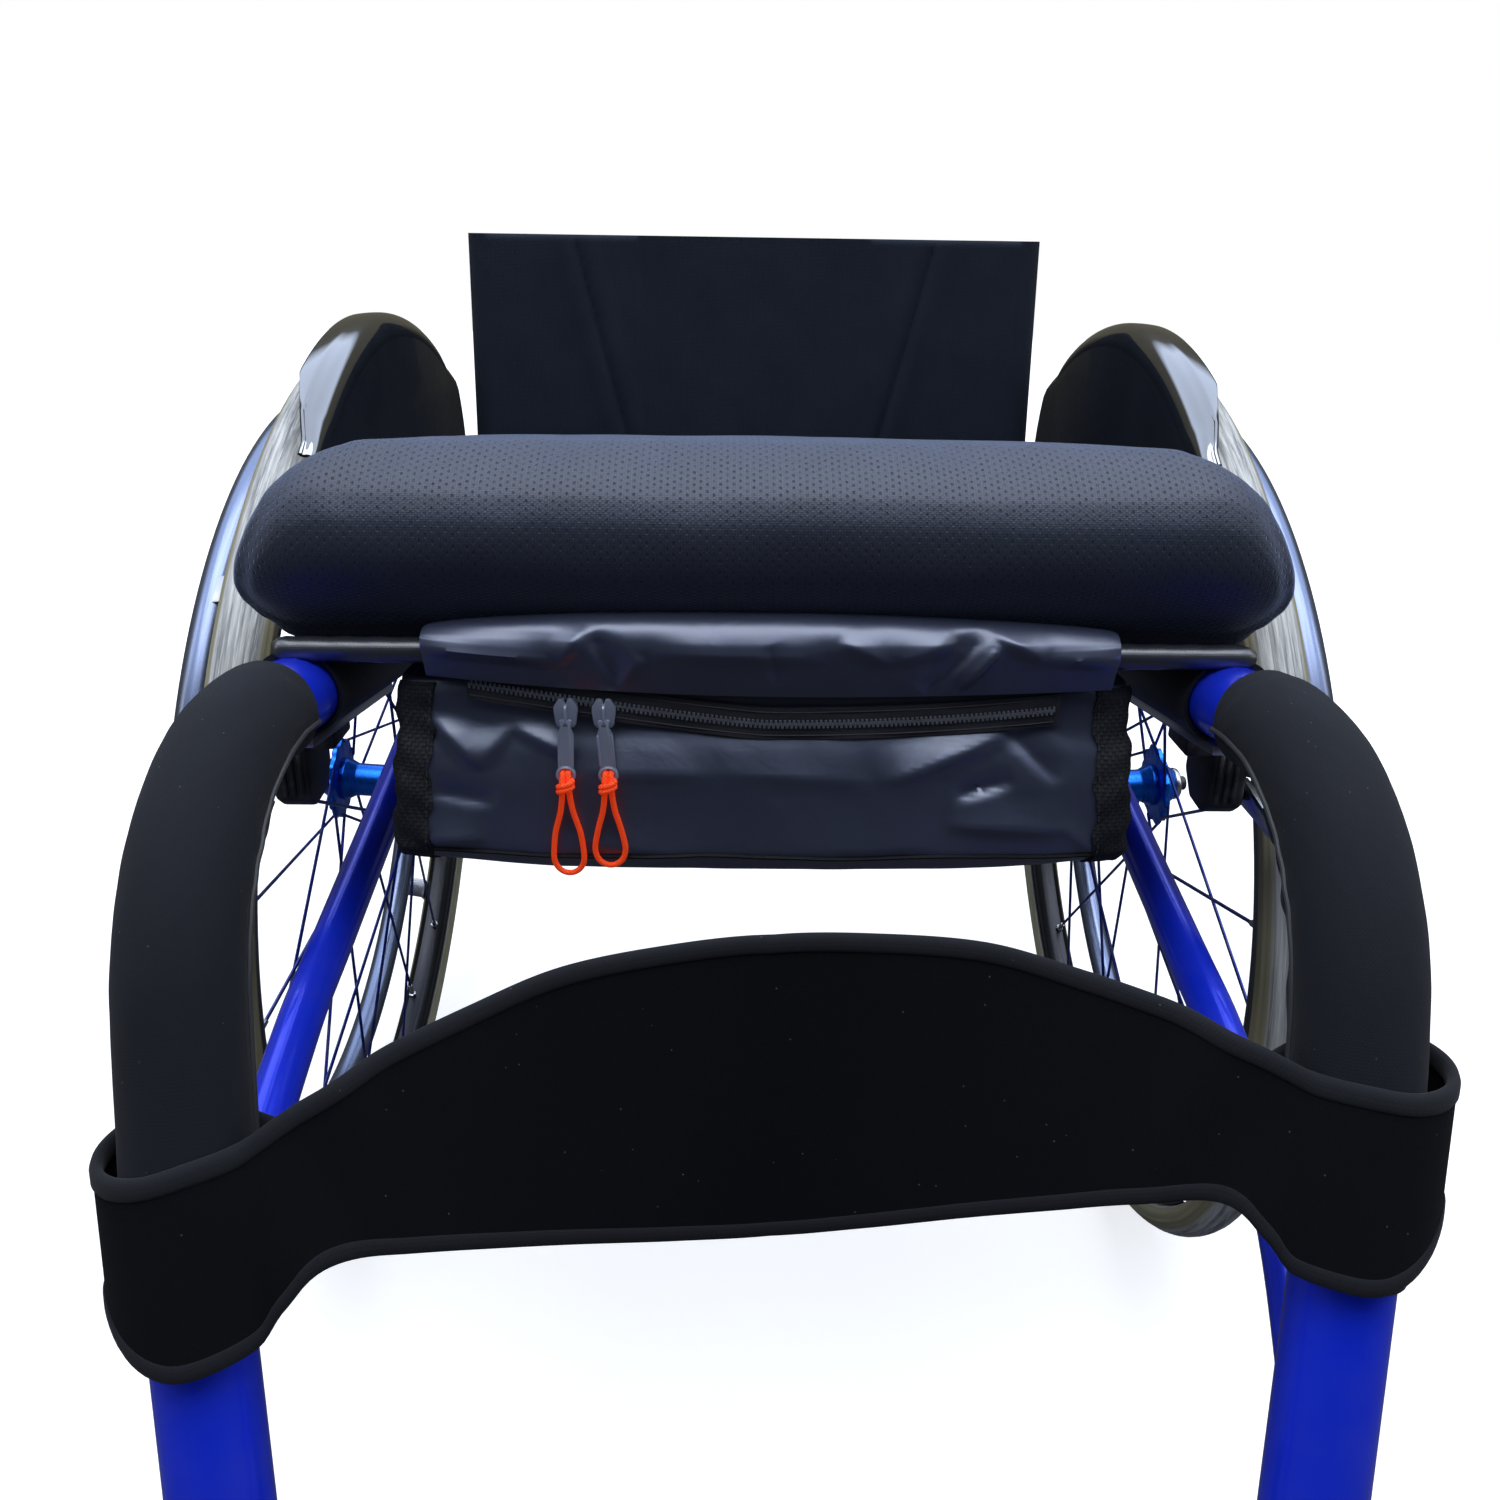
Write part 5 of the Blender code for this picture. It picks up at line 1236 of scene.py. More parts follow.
def make_back_hinge(side):
    """Clamp on the rail with a rounded plate and the pin that the backrest turns on."""
    z = rail_z(HINGE_Y)
    outline = [(HINGE_Y - 15, z), (HINGE_Y - 8, z + 34)] + arc(13, 180, 0, 20, (PIVOT_Y, PIVOT_Z))
    outline += [(HINGE_Y + 13, z + 30), (HINGE_Y + 15, z)]
    cheek = softened(plate([(y + AXLE_Y, h) for y, h in outline], 206, 214, side), 1.2)
    middle = at_axle((side * RAIL_X, HINGE_Y, z))
    ring = clamp_ring(middle, RAIL_WAY, TUBE_R + GAP, CLAMP_R, 15)
    finished("hinge_bracket", [cheek, ring], BLACK_COAT, "chair", "black_metal", "back_hinge", side=side)
    start, end, cap = (at_axle((side * x, PIVOT_Y, PIVOT_Z)) for x in (181, 216, 214.2))
    parts = [rod(start, end, 5), socket_screw(cap, (side, 0, 0), 8, 3.4),
             socket_screw(middle - Vector((0, 0, CLAMP_R + 0.5)), (0, 0, -1), 4, 4)]
    finished("hinge_pin", parts, RAW_STEEL, "chair", "silver", side=side)


def make_back_frame():
    """Back canes with their eyes, and the bowed bar between them."""
    top = BACK_TOP_Z - 5
    pieces = []
    for side in SIDES:
        foot = at_axle((side * CANE_X, PIVOT_Y, PIVOT_Z))
        pieces.append(rod(foot, at_axle((side * CANE_X, cane_y(top), top)), CANE_R, 36))
        turn = Matrix.Rotation(0 if side > 0 else pi, 4, "Z")
        eye = [(178.5, 5.4), (178.5, 12), (179.5, 13), (204.6, 13), (205.6, 12), (205.6, 5.4)]
        pieces.append(turned(eye, 56, moved(at_axle((0, PIVOT_Y, PIVOT_Z))) @ turn))
    bow = [at_axle((u * 182, PIVOT_Y + 34 * (1 - u * u), PIVOT_Z)) for u in (i / 16 - 1 for i in range(33))]
    finished("back_canes", pieces + [swept(bow, 8, 28)], BLACK_COAT, "backrest", "black_metal", "back_frame")


# Wheel locks

LOCK_Y = -262
LEVER_Z = 430
SHOE_Z = 414
SHOE_ARM = 40


def make_lock_body(side):
    """Bar under the rail, and the housing with its foot, ribs and two pins."""
    top = [(y + AXLE_Y, rail_z(y) - TUBE_R - 0.8) for y in (-322, -190)]
    bar = softened(plate(top + [(y, z - 5) for y, z in reversed(top)], 195, 211, side), 1.2)
    finished("lock_bar", [bar], RAW_STEEL, "chair", "silver", side=side)
    shape = [(-19, 414), (-19, 441), (-13, 446), (11, 446), (17, 440), (17, 420), (6, 408), (-10, 407)]
    foot = [(-15, 438), (-15, 449), (13, 449), (13, 438)]
    shape, foot = ([(y + LOCK_Y + AXLE_Y, z) for y, z in outline] for outline in (shape, foot))
    parts = [softened(plate(shape, 213.5, 231, side), 2.5, 3), softened(plate(foot, 201, 220, side), 1.5)]
    for x in (217, 221, 225):
        low, high = (at_axle((side * x, LOCK_Y - 19, z)) for z in (416, 441))
        parts.append(rod(low, high, 1.3, 12))
    for z, out in ((LEVER_Z, 237.6), (SHOE_Z, 241.6)):
        parts.append(rod(at_axle((side * 231, LOCK_Y, z)), at_axle((side * out, LOCK_Y, z)), 4))
    finished("lock_housing", parts, BLACK_COAT, "chair", "black_metal", "lock_body", side=side)


def lock_arm(side, pivot, ahead, up, outline, x0, x1):
    """A flat arm with its hole, from an outline measured along it and across it."""
    spots = [pivot + ahead * a + up * b for a, b in outline]
    hole = rod(pivot + ACROSS * side * (x0 - 7.5), pivot + ACROSS * side * (x1 + 8.8), 4.4)
    return softened(cut_with(plate([(p.y, p.z) for p in spots], x0, x1, side), hole), 0.6)


def directions(lift):
    """Ahead and up for an arm that rises by so many degrees towards the front."""
    t = radians(lift)
    return Vector((0, -cos(t), sin(t))), Vector((0, sin(t), cos(t)))


def make_lock(side):
    """Wheel lock: body, hand lever with its grip, and the shoe on its arm."""
    make_lock_body(side)
    ahead, up = directions(16)
    pivot = at_axle((0, LOCK_Y, LEVER_Z))
    outline = [(-abs(a), b) for b, a in arc(7, -90, 90, 12)] + [(12, 6.2), (75, 5), (75, -5), (12, -6.2)]
    arm = lock_arm(side, pivot, ahead, up, outline, 232.5, 236.2)
    finished("lever_arm", [arm], RAW_STEEL, "lever", "silver", "lock_lever", side=side)
    root = pivot + ACROSS * side * 234.4
    grip = swept([root + ahead * a for a in (66, 68, 70, 80, 92, 104, 109, 111, 112)],
                 [5.2, 6.6, 6.6, 6.9, 7.4, 7.5, 6.8, 5.2, 3.0], 28)
    rings = [clamp_ring(root + ahead * a, ahead, 5, 7.6, 0.9) for a in (76, 80, 84, 88, 92, 96)]
    finished("lever_grip", [grip] + rings, BLACK_PLASTIC, "lever", "black_plastic", side=side)
    ahead, up = directions(-5)
    pivot = at_axle((0, LOCK_Y, SHOE_Z))
    low = [(-6, -3), (-3, -6.2), (3, -6.4), (38, -4), (42, -2.4)]
    outline = low + [(43, 0)] + [(a, -b) for a, b in reversed(low)]
    arm = lock_arm(side, pivot, ahead, up, outline, 237.2, 240.6)
    finished("shoe_arm", [arm], RAW_STEEL, "shoe", "silver", "lock_shoe", side=side)
    tip = pivot + ahead * SHOE_ARM
    marks = [0, 1.2, 2.4] + [3.4 + 1.6 * i for i in range(18)] + [33.4, 34.8, 35.5]
    knurl = [5.4, 6.2, 6.2] + [6.5 if i % 2 == 0 else 6.1 for i in range(18)] + [6.2, 6.2, 5.2]
    roller = swept([tip + ACROSS * side * (238.5 + m) for m in marks], knurl, 28)
    finished("shoe_roller", [roller], BLACK_PLASTIC, "shoe", "black_plastic", side=side)


def make_rigid_parts():
    make_cross_tube()
    make_footrest()
    make_back_frame()
    for side in SIDES:
        for make in (make_side_frame, make_upright, make_castor, make_guard, make_back_hinge, make_lock):
            make(side)


# Cloth, foam and cord

SEAT_FRONT = -312
SEAT_BACK = 58
CLOTH = 3
BEAD_R = 5.5
CUSHION_HALF = 221
CUSHION_FRONT = -340
CUSHION_BACK = 88
CUSHION_HIGH = 85
CUSHION_EDGE = 30
STRAP_Z = 368
STRAP_TILT = 0.065
STRAP_THICK = 3.2
STRAP_WIDE = 106
ZIP_Y = -309
ZIP_Z = 466
ZIP_LONG = 259
ZIP_WIDE = 15
EYE_Z = -24.5
SLIDERS = (("first", -87, 0.03), ("second", -70.5, -0.06))
CORD_R = 1.3


def frames(path):
    """(point, across, up) along a path, turned as little as possible."""
    found = []
    up = None
    for i, point in enumerate(path):
        ahead = (path[min(i + 1, len(path) - 1)] - path[max(i - 1, 0)]).normalized()
        guess = up or (ACROSS if abs(ahead.x) < 0.8 else Vector((0, 0, 1)))
        up = (guess - ahead * guess.dot(ahead)).normalized()
        found.append((point, ahead.cross(up), up))
    return found


def mixed(a, b, f):
    """A row between two rows of equal length."""
    return [p + (q - p) * f for p, q in zip(a, b)]


def at_part(rows, t):
    """The row at part t of a list of rows."""
    place = clamp(t) * (len(rows) - 1)
    i = min(int(place), len(rows) - 2)
    return mixed(rows[i], rows[i + 1], place - i)


def reaches(rows):
    """How far along a line each of its rows lies."""
    found = [0.0]
    for a, b in zip(rows, rows[1:]):
        found.append(found[-1] + dist(a, b))
    return found


def step_at(reach, want):
    """Which step of a line a distance along it falls in, and how far into that step."""
    i = max(j for j in range(len(reach) - 1) if reach[j] <= want + 1e-6)
    return i, (want - reach[i]) / max(1e-6, reach[i + 1] - reach[i])


def at_reach(rows, reach, want):
    """The row at a distance along a line."""
    i, f = step_at(reach, want)
    return mixed(rows[i], rows[i + 1], f)


def ridge(x, z, start, end, width, height):
    """How far one fold lifts the cloth at (x, z): a ridge that fades at its ends, steeper below."""
    run = (end[0] - start[0], end[1] - start[1])
    length = hypot(*run)
    t = ((x - start[0]) * run[0] + (z - start[1]) * run[1]) / length ** 2
    off = ((x - start[0]) * run[1] - (z - start[1]) * run[0]) / length
    fade = max(0.0, 1 - abs(2 * t - 1) ** 3) if 0 <= t <= 1 else 0.0
    wide = 1.9 * width if off < 0 else 0.9 * width
    return height * fade * max(0.0, 1 - abs(off) / wide) ** 1.4


def ripple(x, y, seed=0.0):
    """A smooth unevenness between -1 and 1, always the same for the same place."""
    return (sin(x + seed) * cos(y * 1.3 - seed * 0.7) + 0.6 * sin(x * 2.3 - y * 1.7 + seed * 2.1) +
            0.35 * sin(x * 4.1 + y * 3.3 + seed)) / 1.95


def make_seat_sling():
    """Cloth pulled over both rails, hooked under them, with a rolled hem along its front."""
    inner = TUBE_R + GAP + CLOTH / 2
    half = [(0.0, inner - 4), (RAIL_X * 0.55, inner - 2.5), (RAIL_X * 0.9, inner - 0.4)]
    half += arc(inner, 90, -30, 14, (RAIL_X, 0))
    whole = [(-x, z) for x, z in reversed(half[1:])] + half
    reach = reaches(whole)
    size = (reach[-1], SEAT_BACK - SEAT_FRONT)

    def lay(u, v):
        x, z = at_reach(whole, reach, u * size[0])
        y = SEAT_FRONT + v * size[1]
        return at_axle((x, y, rail_z(y) + z))

    cloth = cut_cloth(size, (120, 24), lay)
    finished("seat_cloth", [thick(cloth, CLOTH - 0.4)], SEAT_CLOTH, "chair", "black_cloth", "seat_sling")
    middle = at_axle((0, SEAT_FRONT + 1, rail_z(SEAT_FRONT) + TUBE_R + GAP + BEAD_R - 2.5))

    def roll(u, v):
        t = 2 * pi * v
        end = abs(2 * u - 1)
        radius = BEAD_R * (1 - 0.45 * max(0.0, (end - 0.97) / 0.03) ** 2) + 0.12 * sin(u * 190)
        return middle + Vector(((2 * u - 1) * 211, radius * cos(t), radius * sin(t)))

    hem = sewn(cut_cloth((422, 2 * pi * BEAD_R), (150, 20), roll), fill=True)
    finished("seat_hem", [hem], HEM_CLOTH, "chair", "black_cloth", angle=60)
    for side in SIDES:
        def under(u, v, side=side):
            t = radians(-25 - 205 * u)
            y = SEAT_FRONT + 1 + 190 * v
            wall = TUBE_R + 1.6
            return at_axle((side * (RAIL_X + wall * cos(t)), y, rail_z(y) + wall * sin(t)))

        turn = thick(cut_cloth((66, 190), (28, 20), under), 1.6)
        finished("seat_turn_under", [turn], SEAT_CLOTH, "chair", "black_cloth", side=side, angle=60)


def unrolled(y, z):
    """Length along the cushion's cover from the middle of its top, forwards and down."""
    flat_y = (CUSHION_BACK - CUSHION_FRONT) / 2 - CUSHION_EDGE
    flat_z = CUSHION_HIGH / 2 - CUSHION_EDGE
    ahead = abs(y)
    if ahead < flat_y:
        run = ahead if z > 0 else flat_y + flat_z * 2 + pi * CUSHION_EDGE + flat_y - ahead
    elif z > flat_z:
        run = flat_y + CUSHION_EDGE * atan2(ahead - flat_y, z - flat_z)
    elif z > -flat_z:
        run = flat_y + CUSHION_EDGE * pi / 2 + flat_z - z
    else:
        run = flat_y + CUSHION_EDGE * (pi - atan2(ahead - flat_y, -z - flat_z)) + 2 * flat_z
    return copysign(run, -y)


def cushion_form(x, y, z):
    """Moves a point measured from the cushion's middle: a slanted nose and ends, and soft dents."""
    front = max(0.0, -y / 190 - 0.2)
    pull = 1.6 * ripple(x * 0.021, z * 0.03 + y * 0.009, 1.3) * min(1.0, front)
    tuck = 3.5 * bell(abs(x) / CUSHION_HALF - 0.955, 0.02) * min(1.0, front)
    low = max(0.0, (16 - z) / 58)
    high = max(0.0, (z - 14) / 29)
    y += (pull + tuck) * 0.6 + clamp((-y - 150) / 50) ** 2 * (34 * low * low + 5 * high * high)
    ahead = clamp((-y - 90) / 70)
    flare = ahead * (8 * min(1.0, low * 1.8) + 10 * low ** 3) - 17 * clamp((z + 8) / 50) ** 1.5
    x += copysign(1, x) * clamp((abs(x) - 150) / 45) * flare
    return Vector((x, y, z - 0.8 * ripple(x * 0.017, y * 0.019, 4.0)))


def make_cushion():
    """Foam seat pad in its spacer fabric cover, swollen by a cloth simulation."""
    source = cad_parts["seat_cushion"]
    pad = source.copy()
    pad.data = source.data.copy()
    bpy.context.scene.collection.objects.link(pad)
    pad.hide_render = False
    pad.hide_viewport = False
    pad.hide_set(False)
    sewn(pad)
    finish_modifier(pad, "REMESH", mode="VOXEL", voxel_size=5 * MM)
    slope = atan(RAIL_RISE)
    middle_y = (CUSHION_FRONT + CUSHION_BACK) / 2
    base = rail_z(middle_y) + (CLAMP_R + 0.5) / cos(slope)
    place = moved(at_axle((0, middle_y, base))) @ Matrix.Rotation(-slope, 4, "X")
    place = place @ moved((0, 0, CUSHION_HIGH / 2))
    back = place.inverted()
    for spot in pad.data.vertices:
        local = back @ spot.co
        local.x *= 0.99
        local.y *= 0.985
        local.z = local.z * 0.95 - MM
        spot.co = place @ local
    before = [spot.co.copy() for spot in pad.data.vertices]
    alone(pad)
    swell = pad.modifiers.new("swell", "CLOTH")
    swell.settings.use_pressure = True
    swell.settings.uniform_pressure_force = 4
    swell.settings.effector_weights.gravity = 0
    scene = bpy.context.scene
    for step in range(1, 21):
        scene.frame_set(step)
    bpy.ops.object.modifier_apply(modifier="swell")
    scene.frame_set(1)
    for spot, start in zip(pad.data.vertices, before):
        move = spot.co - start
        if move.length > 5 * MM:
            move *= 5 * MM / move.length
        local = back @ (start + move)
        local.z = max(local.z, (0.4 - CUSHION_HIGH / 2) * MM)
        spot.co = place @ local
    finish_modifier(pad, "SUBSURF", levels=1, render_levels=1)
    for spot in pad.data.vertices:
        spot.co = place @ (cushion_form(*(back @ spot.co / MM)) * MM)

    def cover(spot):
        x, y, z = back @ spot / MM
        return x, unrolled(y, z)

    add_cloth_map(pad, cover)
    finished("seat_pad", [pad], CUSHION_FABRIC, "chair", "cushion_mesh", "seat_cushion", angle=60)


def make_back_upholstery():
    """Padded cloth stretched between the canes, with two seams that lean in towards the seat."""
    inner = CANE_R + GAP
    pad = 8
    tall = BACK_TOP_Z - BACK_BOTTOM_Z
    bow = [(u * CANE_X, 9 * (1 - (u / 0.93) ** 2) - inner) for u in (i / 8 * 0.86 for i in range(9))]
    half = [(x, y - pad) for x, y in bow]
    for t in (radians(-90 + 11.25 * i) for i in range(17)):
        radius = inner + CLOTH + (pad - CLOTH) * max(0.0, -sin(t)) ** 2
        half.append((CANE_X + radius * cos(t), radius * sin(t)))
    ends = [(CANE_X - 26, inner + CLOTH), (CANE_X - 26, inner)]
    ring = half + ends + list(reversed(bow + arc(inner, -90, 90, 16, (CANE_X, 0))))
    ring += [(-x, y) for x, y in reversed(ring)]
    reach = reaches(ring)

    def lay(u, v):
        x, y = at_reach(ring, reach, u * reach[-1])
        z = BACK_BOTTOM_Z + tall * v
        if y < -inner - 1 and abs(x) < CANE_X:
            near = abs(abs(x) - 92 - 37 * v)
            edge = min(v, 1 - v) * tall
            y += 1.9 * bell(near, 1.7) - 1.4 * bell(near - 9, 7) - 0.7 * ripple(x * 0.026, z * 0.022, 2.0)
            y += 2.4 * max(0.0, 1 - edge / 3) ** 2
        return at_axle((x, cane_y(z) + y, z))

    cover = sewn(cut_cloth((reach[-1], tall), (420, 60), lay), fill=True)
    finished("back_cover", [cover], BACK_CLOTH, "backrest", "black_cloth", "back_upholstery", angle=50)
    size = (354, 72)

    def hang(u, v):
        z = 458 + size[1] * v
        x = (2 * u - 1) * (173 + 4 * v)
        y = 9 * (1 - (x / 172) ** 2) - inner - pad / 2 + 0.6 * ripple(x * 0.024, z * 0.03, 5.0)
        seam = 1.5 * bell(abs(x) - 92 + 24 * (1 - v), 1.7)
        return at_axle((x, cane_y(z) + y + seam, z))

    flap = cut_cloth(size, (160, 30), hang)
    softened(thick(flap, 4.6), 0.8, 2, 60)
    finished("back_lower_flap", [flap], BACK_CLOTH, "backrest", "black_cloth", angle=50)


def make_sleeve(side):
    """Foam sleeve over the bend of the main tube, with its piping and the loose edge of its overlap."""
    route = [at_axle(p) for p in knee_points(side)]
    line = smooth_line(route[:2] + route[3:-2:4] + route[-2:], 12)
    rows = frames(line)
    length = reaches(line)[-1]
    wall = TUBE_R + GAP + SLEEVE_WALL

    def wrapped(u, v, lift=0.0):
        place = v * (len(rows) - 1)
        i = min(int(place), len(rows) - 2)
        point, across, up = (a.lerp(b, place - i) for a, b in zip(rows[i], rows[i + 1]))
        t = 2 * pi * u
        way = up.normalized() * cos(t) + across.normalized() * sin(t)
        end = min(v, 1 - v) * length
        shrink = 0.5 * SLEEVE_WALL * max(0.0, 1 - end / 5) ** 2
        crease = 0.9 * max(0.0, way.y) * bell(place - len(rows) / 2, 16) * sin(place * 0.75)
        wave = 0.25 * ripple(u * 19, v * 21, side * 1.7)
        return point + way * (wall - shrink - 0.5 + crease + wave + lift)

    tube = sewn(cut_cloth((2 * pi * wall, length), (56, 150), wrapped))
    core = line[len(line) // 2] * MM
    outward = sum(face.normal.dot(face.center - core) for face in tube.data.polygons) > 0
    thick(tube, SLEEVE_WALL / 2, -1 if outward else 1)
    finished("sleeve", [tube], SLEEVE_FOAM, "chair", "sleeve_foam", "knee_sleeve", side=side, angle=55)
    seam_at = 0.75 - 0.18 * side
    shift = 0.07 * side
    spots = []
    for v in (0.01 + 0.98 * i / 90 for i in range(91)):
        spots.append(wrapped(seam_at - shift * (0.6 - 0.4 * v), v, 0.5))
    piping = finished("sleeve_piping", [swept(spots, 1.1, 12)], PIPING, "chair", "sleeve_foam", side=side)

    def loose(u, v):
        flare = 1.2 + 3.4 * u * sin(pi * v) ** 0.5 + 1.5 * u * sin(v * 21 + side)
        return wrapped(seam_at + shift * (0.3 + 0.9 * u), 0.38 + 0.6 * v, max(0.7, flare))

    size = (16, length * 0.6)
    flap = cut_cloth(size, (8, 90), loose)
    finished("sleeve_overlap", [thick(flap, 1.2)], SLEEVE_FOAM, "chair", "sleeve_foam", side=side, angle=50)


def strap_line():
    """The whole strap from one end to the other, as smooth rows of (x, y, low z, high z)."""
    shape = ((0, 0, 332, 438), (35, 2, 335, 436), (70, 9, 342, 433), (100, 19, 350, 426), (125, 30, 358, 420),
             (148, 42, 364, 412), (160, 46, 356, 407), (170, 48, 346, 403))
    half = [(x, -463 - drop, low, high) for x, drop, low, high in shape]
    leg = leg_at(1, STRAP_Z)
    for i in range(10):
        t = radians(-112 + 26 * i)
        x, y = leg.x + 23 * cos(t), leg.y + 23 * 1.115 * sin(t)
        half.append((x, y, 345 + min(13, 1.6 * i * i), 403 - 1.2 * i))
    half += [(leg.x - 37, leg.y + 6, 358, 392), (leg.x - 50, leg.y - 2, 362, 389)]
    return smooth_line([(-x, *rest) for x, *rest in reversed(half[1:])] + half, 10)


def make_strap():
    """Wide foam band behind the calves, with bound edges, its ends hooked round the legs."""
    rows = strap_line()
    reach = reaches([row[:2] for row in rows])
    length = reach[-1]

    def at(u):
        i, f = step_at(reach, u * length)
        before, after = rows[max(i - 2, 0)], rows[min(i + 3, len(rows) - 1)]
        along = Vector((after[0] - before[0], after[1] - before[1], 0)).normalized()
        return mixed(rows[i], rows[i + 1], f), Vector((along.y, -along.x, 0))

    def surface(u, v, lift):
        (x, y, low, high), out = at(u)
        way = 1 if x > 0 else -1
        near = min(1.0, abs(x) / 150)
        z = low + (high - low) * v
        level = z + STRAP_TILT * x - STRAP_Z
        turn = bell(abs(x) - 150, 26) if y < -440 else 0.0
        fold = 1.5 * turn * sin((abs(x) * 0.16 - (z - low) * 0.075) * way + 1.0)
        soft = 0.6 * ripple(x * 0.017, z * 0.021, 7.0) * (1 if abs(x) < 185 else 0.2)
        spot = Vector((x + LEG_TAPER * near * way * level, y + (0.25 + (LEG_LEAN - 0.25) * near) * level,
                       STRAP_Z + level))
        return at_axle(spot + out * (lift + fold * 0.6 + soft * 0.6))

    middle = STRAP_THICK / 2
    band = cut_cloth((length, STRAP_WIDE), (300, 26), lambda u, v: surface(u, v, middle))
    thick(band, STRAP_THICK - 0.8)
    finished("calf_band", [band], STRAP_FOAM, "chair", "sleeve_foam", "calf_strap", angle=50)
    half = [(4.6, 1.35), (4, 1.75), (1.0, 1.8), (-0.4, 1.2)]
    profile = half + [(-0.9, 0)] + [(a, -b) for a, b in reversed(half)]
    for word, edge, way in (("upper", 1.0, -1), ("lower", 0.0, 1)):
        def bind(u, w, edge=edge, way=way):
            inset, out = at_part(profile, w)
            low, high = at(u)[0][2:]
            return surface(u, edge + way * inset / (high - low), middle + out)

        tape = thick(cut_cloth((length, 12), (300, 16), bind), 0.5)
        finished("calf_binding_" + word, [tape], STRAP_EDGE, "chair", "sleeve_foam", angle=60)


BODY_FOLDS = (((-154, 476), (-125, 446), 8, 4.4), ((-127, 445), (-112, 464), 6, 2.4),
              ((-113, 464), (-84, 451), 5, 3.2), ((-86, 444), (-20, 443), 9, 2.8),
              ((-24, 444), (54, 440), 9, 2.4), ((50, 439), (107, 462), 8, 4.2),
              ((84, 433), (112, 441), 5, -3.4), ((108, 462), (132, 440), 6, -2.6),
              ((80, 421), (140, 418), 8, 3.8), ((-156, 411), (-124, 413), 8, 3.6),
              ((-92, 414), (-30, 404), 8, 1.6), ((134, 421), (152, 405), 5, 1.4),
              ((-152, 434), (-118, 429), 6, -2.8), ((20, 407), (80, 410), 8, 1.4))
FLAP_FOLDS = (((-152, 499), (-84, 497), 6, 4.2), ((-88, 496), (-76, 512), 5, 3.4),
              ((-74, 510), (-62, 486), 6, -4.0), ((-64, 486), (-52, 500), 5, 2.4),
              ((-50, 502), (24, 501), 7, 2.4), ((30, 508), (54, 498), 6, 3.0),
              ((52, 499), (80, 508), 7, 2.6), ((68, 484), (92, 514), 6, -4.4),
              ((84, 486), (99, 506), 4, 4.0), ((95, 511), (118, 499), 6, 3.4),
              ((112, 500), (154, 497), 6, 4.0), ((0, 506), (6, 488), 5, -1.8))


def section_line():
    """The pouch's outline seen from the side, as even points of (x, y, z), and the length of it."""
    shape = [(-305.5, 482), (-307.6, 477), (-307.6, 470), (-308.6, 462), (-312.4, 452), (-315.4, 437),
             (-315.8, 420), (-315, 406), (-311, 400), (-302, 393), (-284, 389.6), (-262, 389), (-236, 391),
             (-225, 400), (-223, 420), (-225, 445), (-232, 470), (-262, 480), (-300, 484)]
    line = smooth_line([(0, y, z) for y, z in shape + shape[:1]], 8)
    reach = reaches(line)
    return [at_reach(line, reach, reach[-1] * i / 160) for i in range(161)], reach[-1]


def pouch_point(line, u, v, lift=0.0):
    """A point of the pouch's skin: u from -1 to 1 across, v from 0 to 1 round its section."""
    _, y, z = at_part(line, v)
    x = u * (160 + (480 - z) * 0.08)
    end = max(0.0, (abs(u) - 0.94) / 0.06)
    deep = -265 + (y + 265) * (1 - 0.07 * end ** 2)
    low = 3 * (1 - u * u) - 5 * max(0.0, (abs(u) - 0.55) / 0.45) ** 1.5
    low *= clamp((412 - z) / 16)
    if y < -296:
        held = clamp((1 - abs(u)) / 0.1) * clamp((469 - z) / 8)
        for fold in BODY_FOLDS:
            deep -= held * 1.15 * ridge(x, z, *fold)
        deep -= held * 0.4 * ripple(x * 0.06, z * 0.07, 3.0)
    if y > -240:
        deep += 1.2 * ripple(x * 0.022, z * 0.03, 1.0)
    out = Vector((0, y + 265, (z - 436) * 0.6)).normalized()
    return at_axle(Vector((x, deep, z - low)) + out * lift)


def make_pouch():
    """Coated nylon pouch: a sagging bag with bound and stitched ends, and a seam along its lower edge."""
    line, around = section_line()
    bag = cut_cloth((332, around), (170, 160), lambda u, v: pouch_point(line, 2 * u - 1, v))
    finished("pouch", [sewn(bag, fill=True)], POUCH, "chair", "pouch_nylon", "bag_body", angle=60)
    front = [i / 160 for i, (_, y, z) in enumerate(line) if z > 391 and y < -295]
    first, last = min(front), max(part for part in front if part < 0.5)
    for side in SIDES:
        def bound(u, v, side=side):
            across = 0.905 + 0.1 * u + 0.006 * sin(v * 26 + side) + 0.003 * sin(v * 61)
            lip = 0.9 + 0.9 * bell(u - 0.82, 0.12) + 0.35 * sin(v * 44 + u * 3)
            return pouch_point(line, side * across, first + (last + 0.035 - first) * v, lip)

        tape = cut_cloth((16, 100), (14, 70), bound)
        finished("pouch_binding", [thick(tape, 0.9)], WEBBING, "chair", "black_cloth", side=side, angle=60)
        stitches = []
        for i in range(22):
            parts = (first + (last - first) * (i + part) / 22 for part in (0.5, 1.05))
            stitches.append(swept([pouch_point(line, side * 0.915, part, 1.4) for part in parts], 0.35, 6))
        finished("binding_stitches", stitches, STITCH, "chair", "black_cloth", side=side)
    edge = max(i / 160 for i, (_, y, z) in enumerate(line[:80]) if z > 404 and y < -300)
    bottom = []
    for u in (-0.93 + 1.86 * i / 120 for i in range(121)):
        bottom.append(pouch_point(line, u, edge + 0.002 * sin(u * 9), 0.4))
    finished("pouch_seam", [swept(bottom, 1.0, 10)], WEBBING, "chair", "black_cloth")


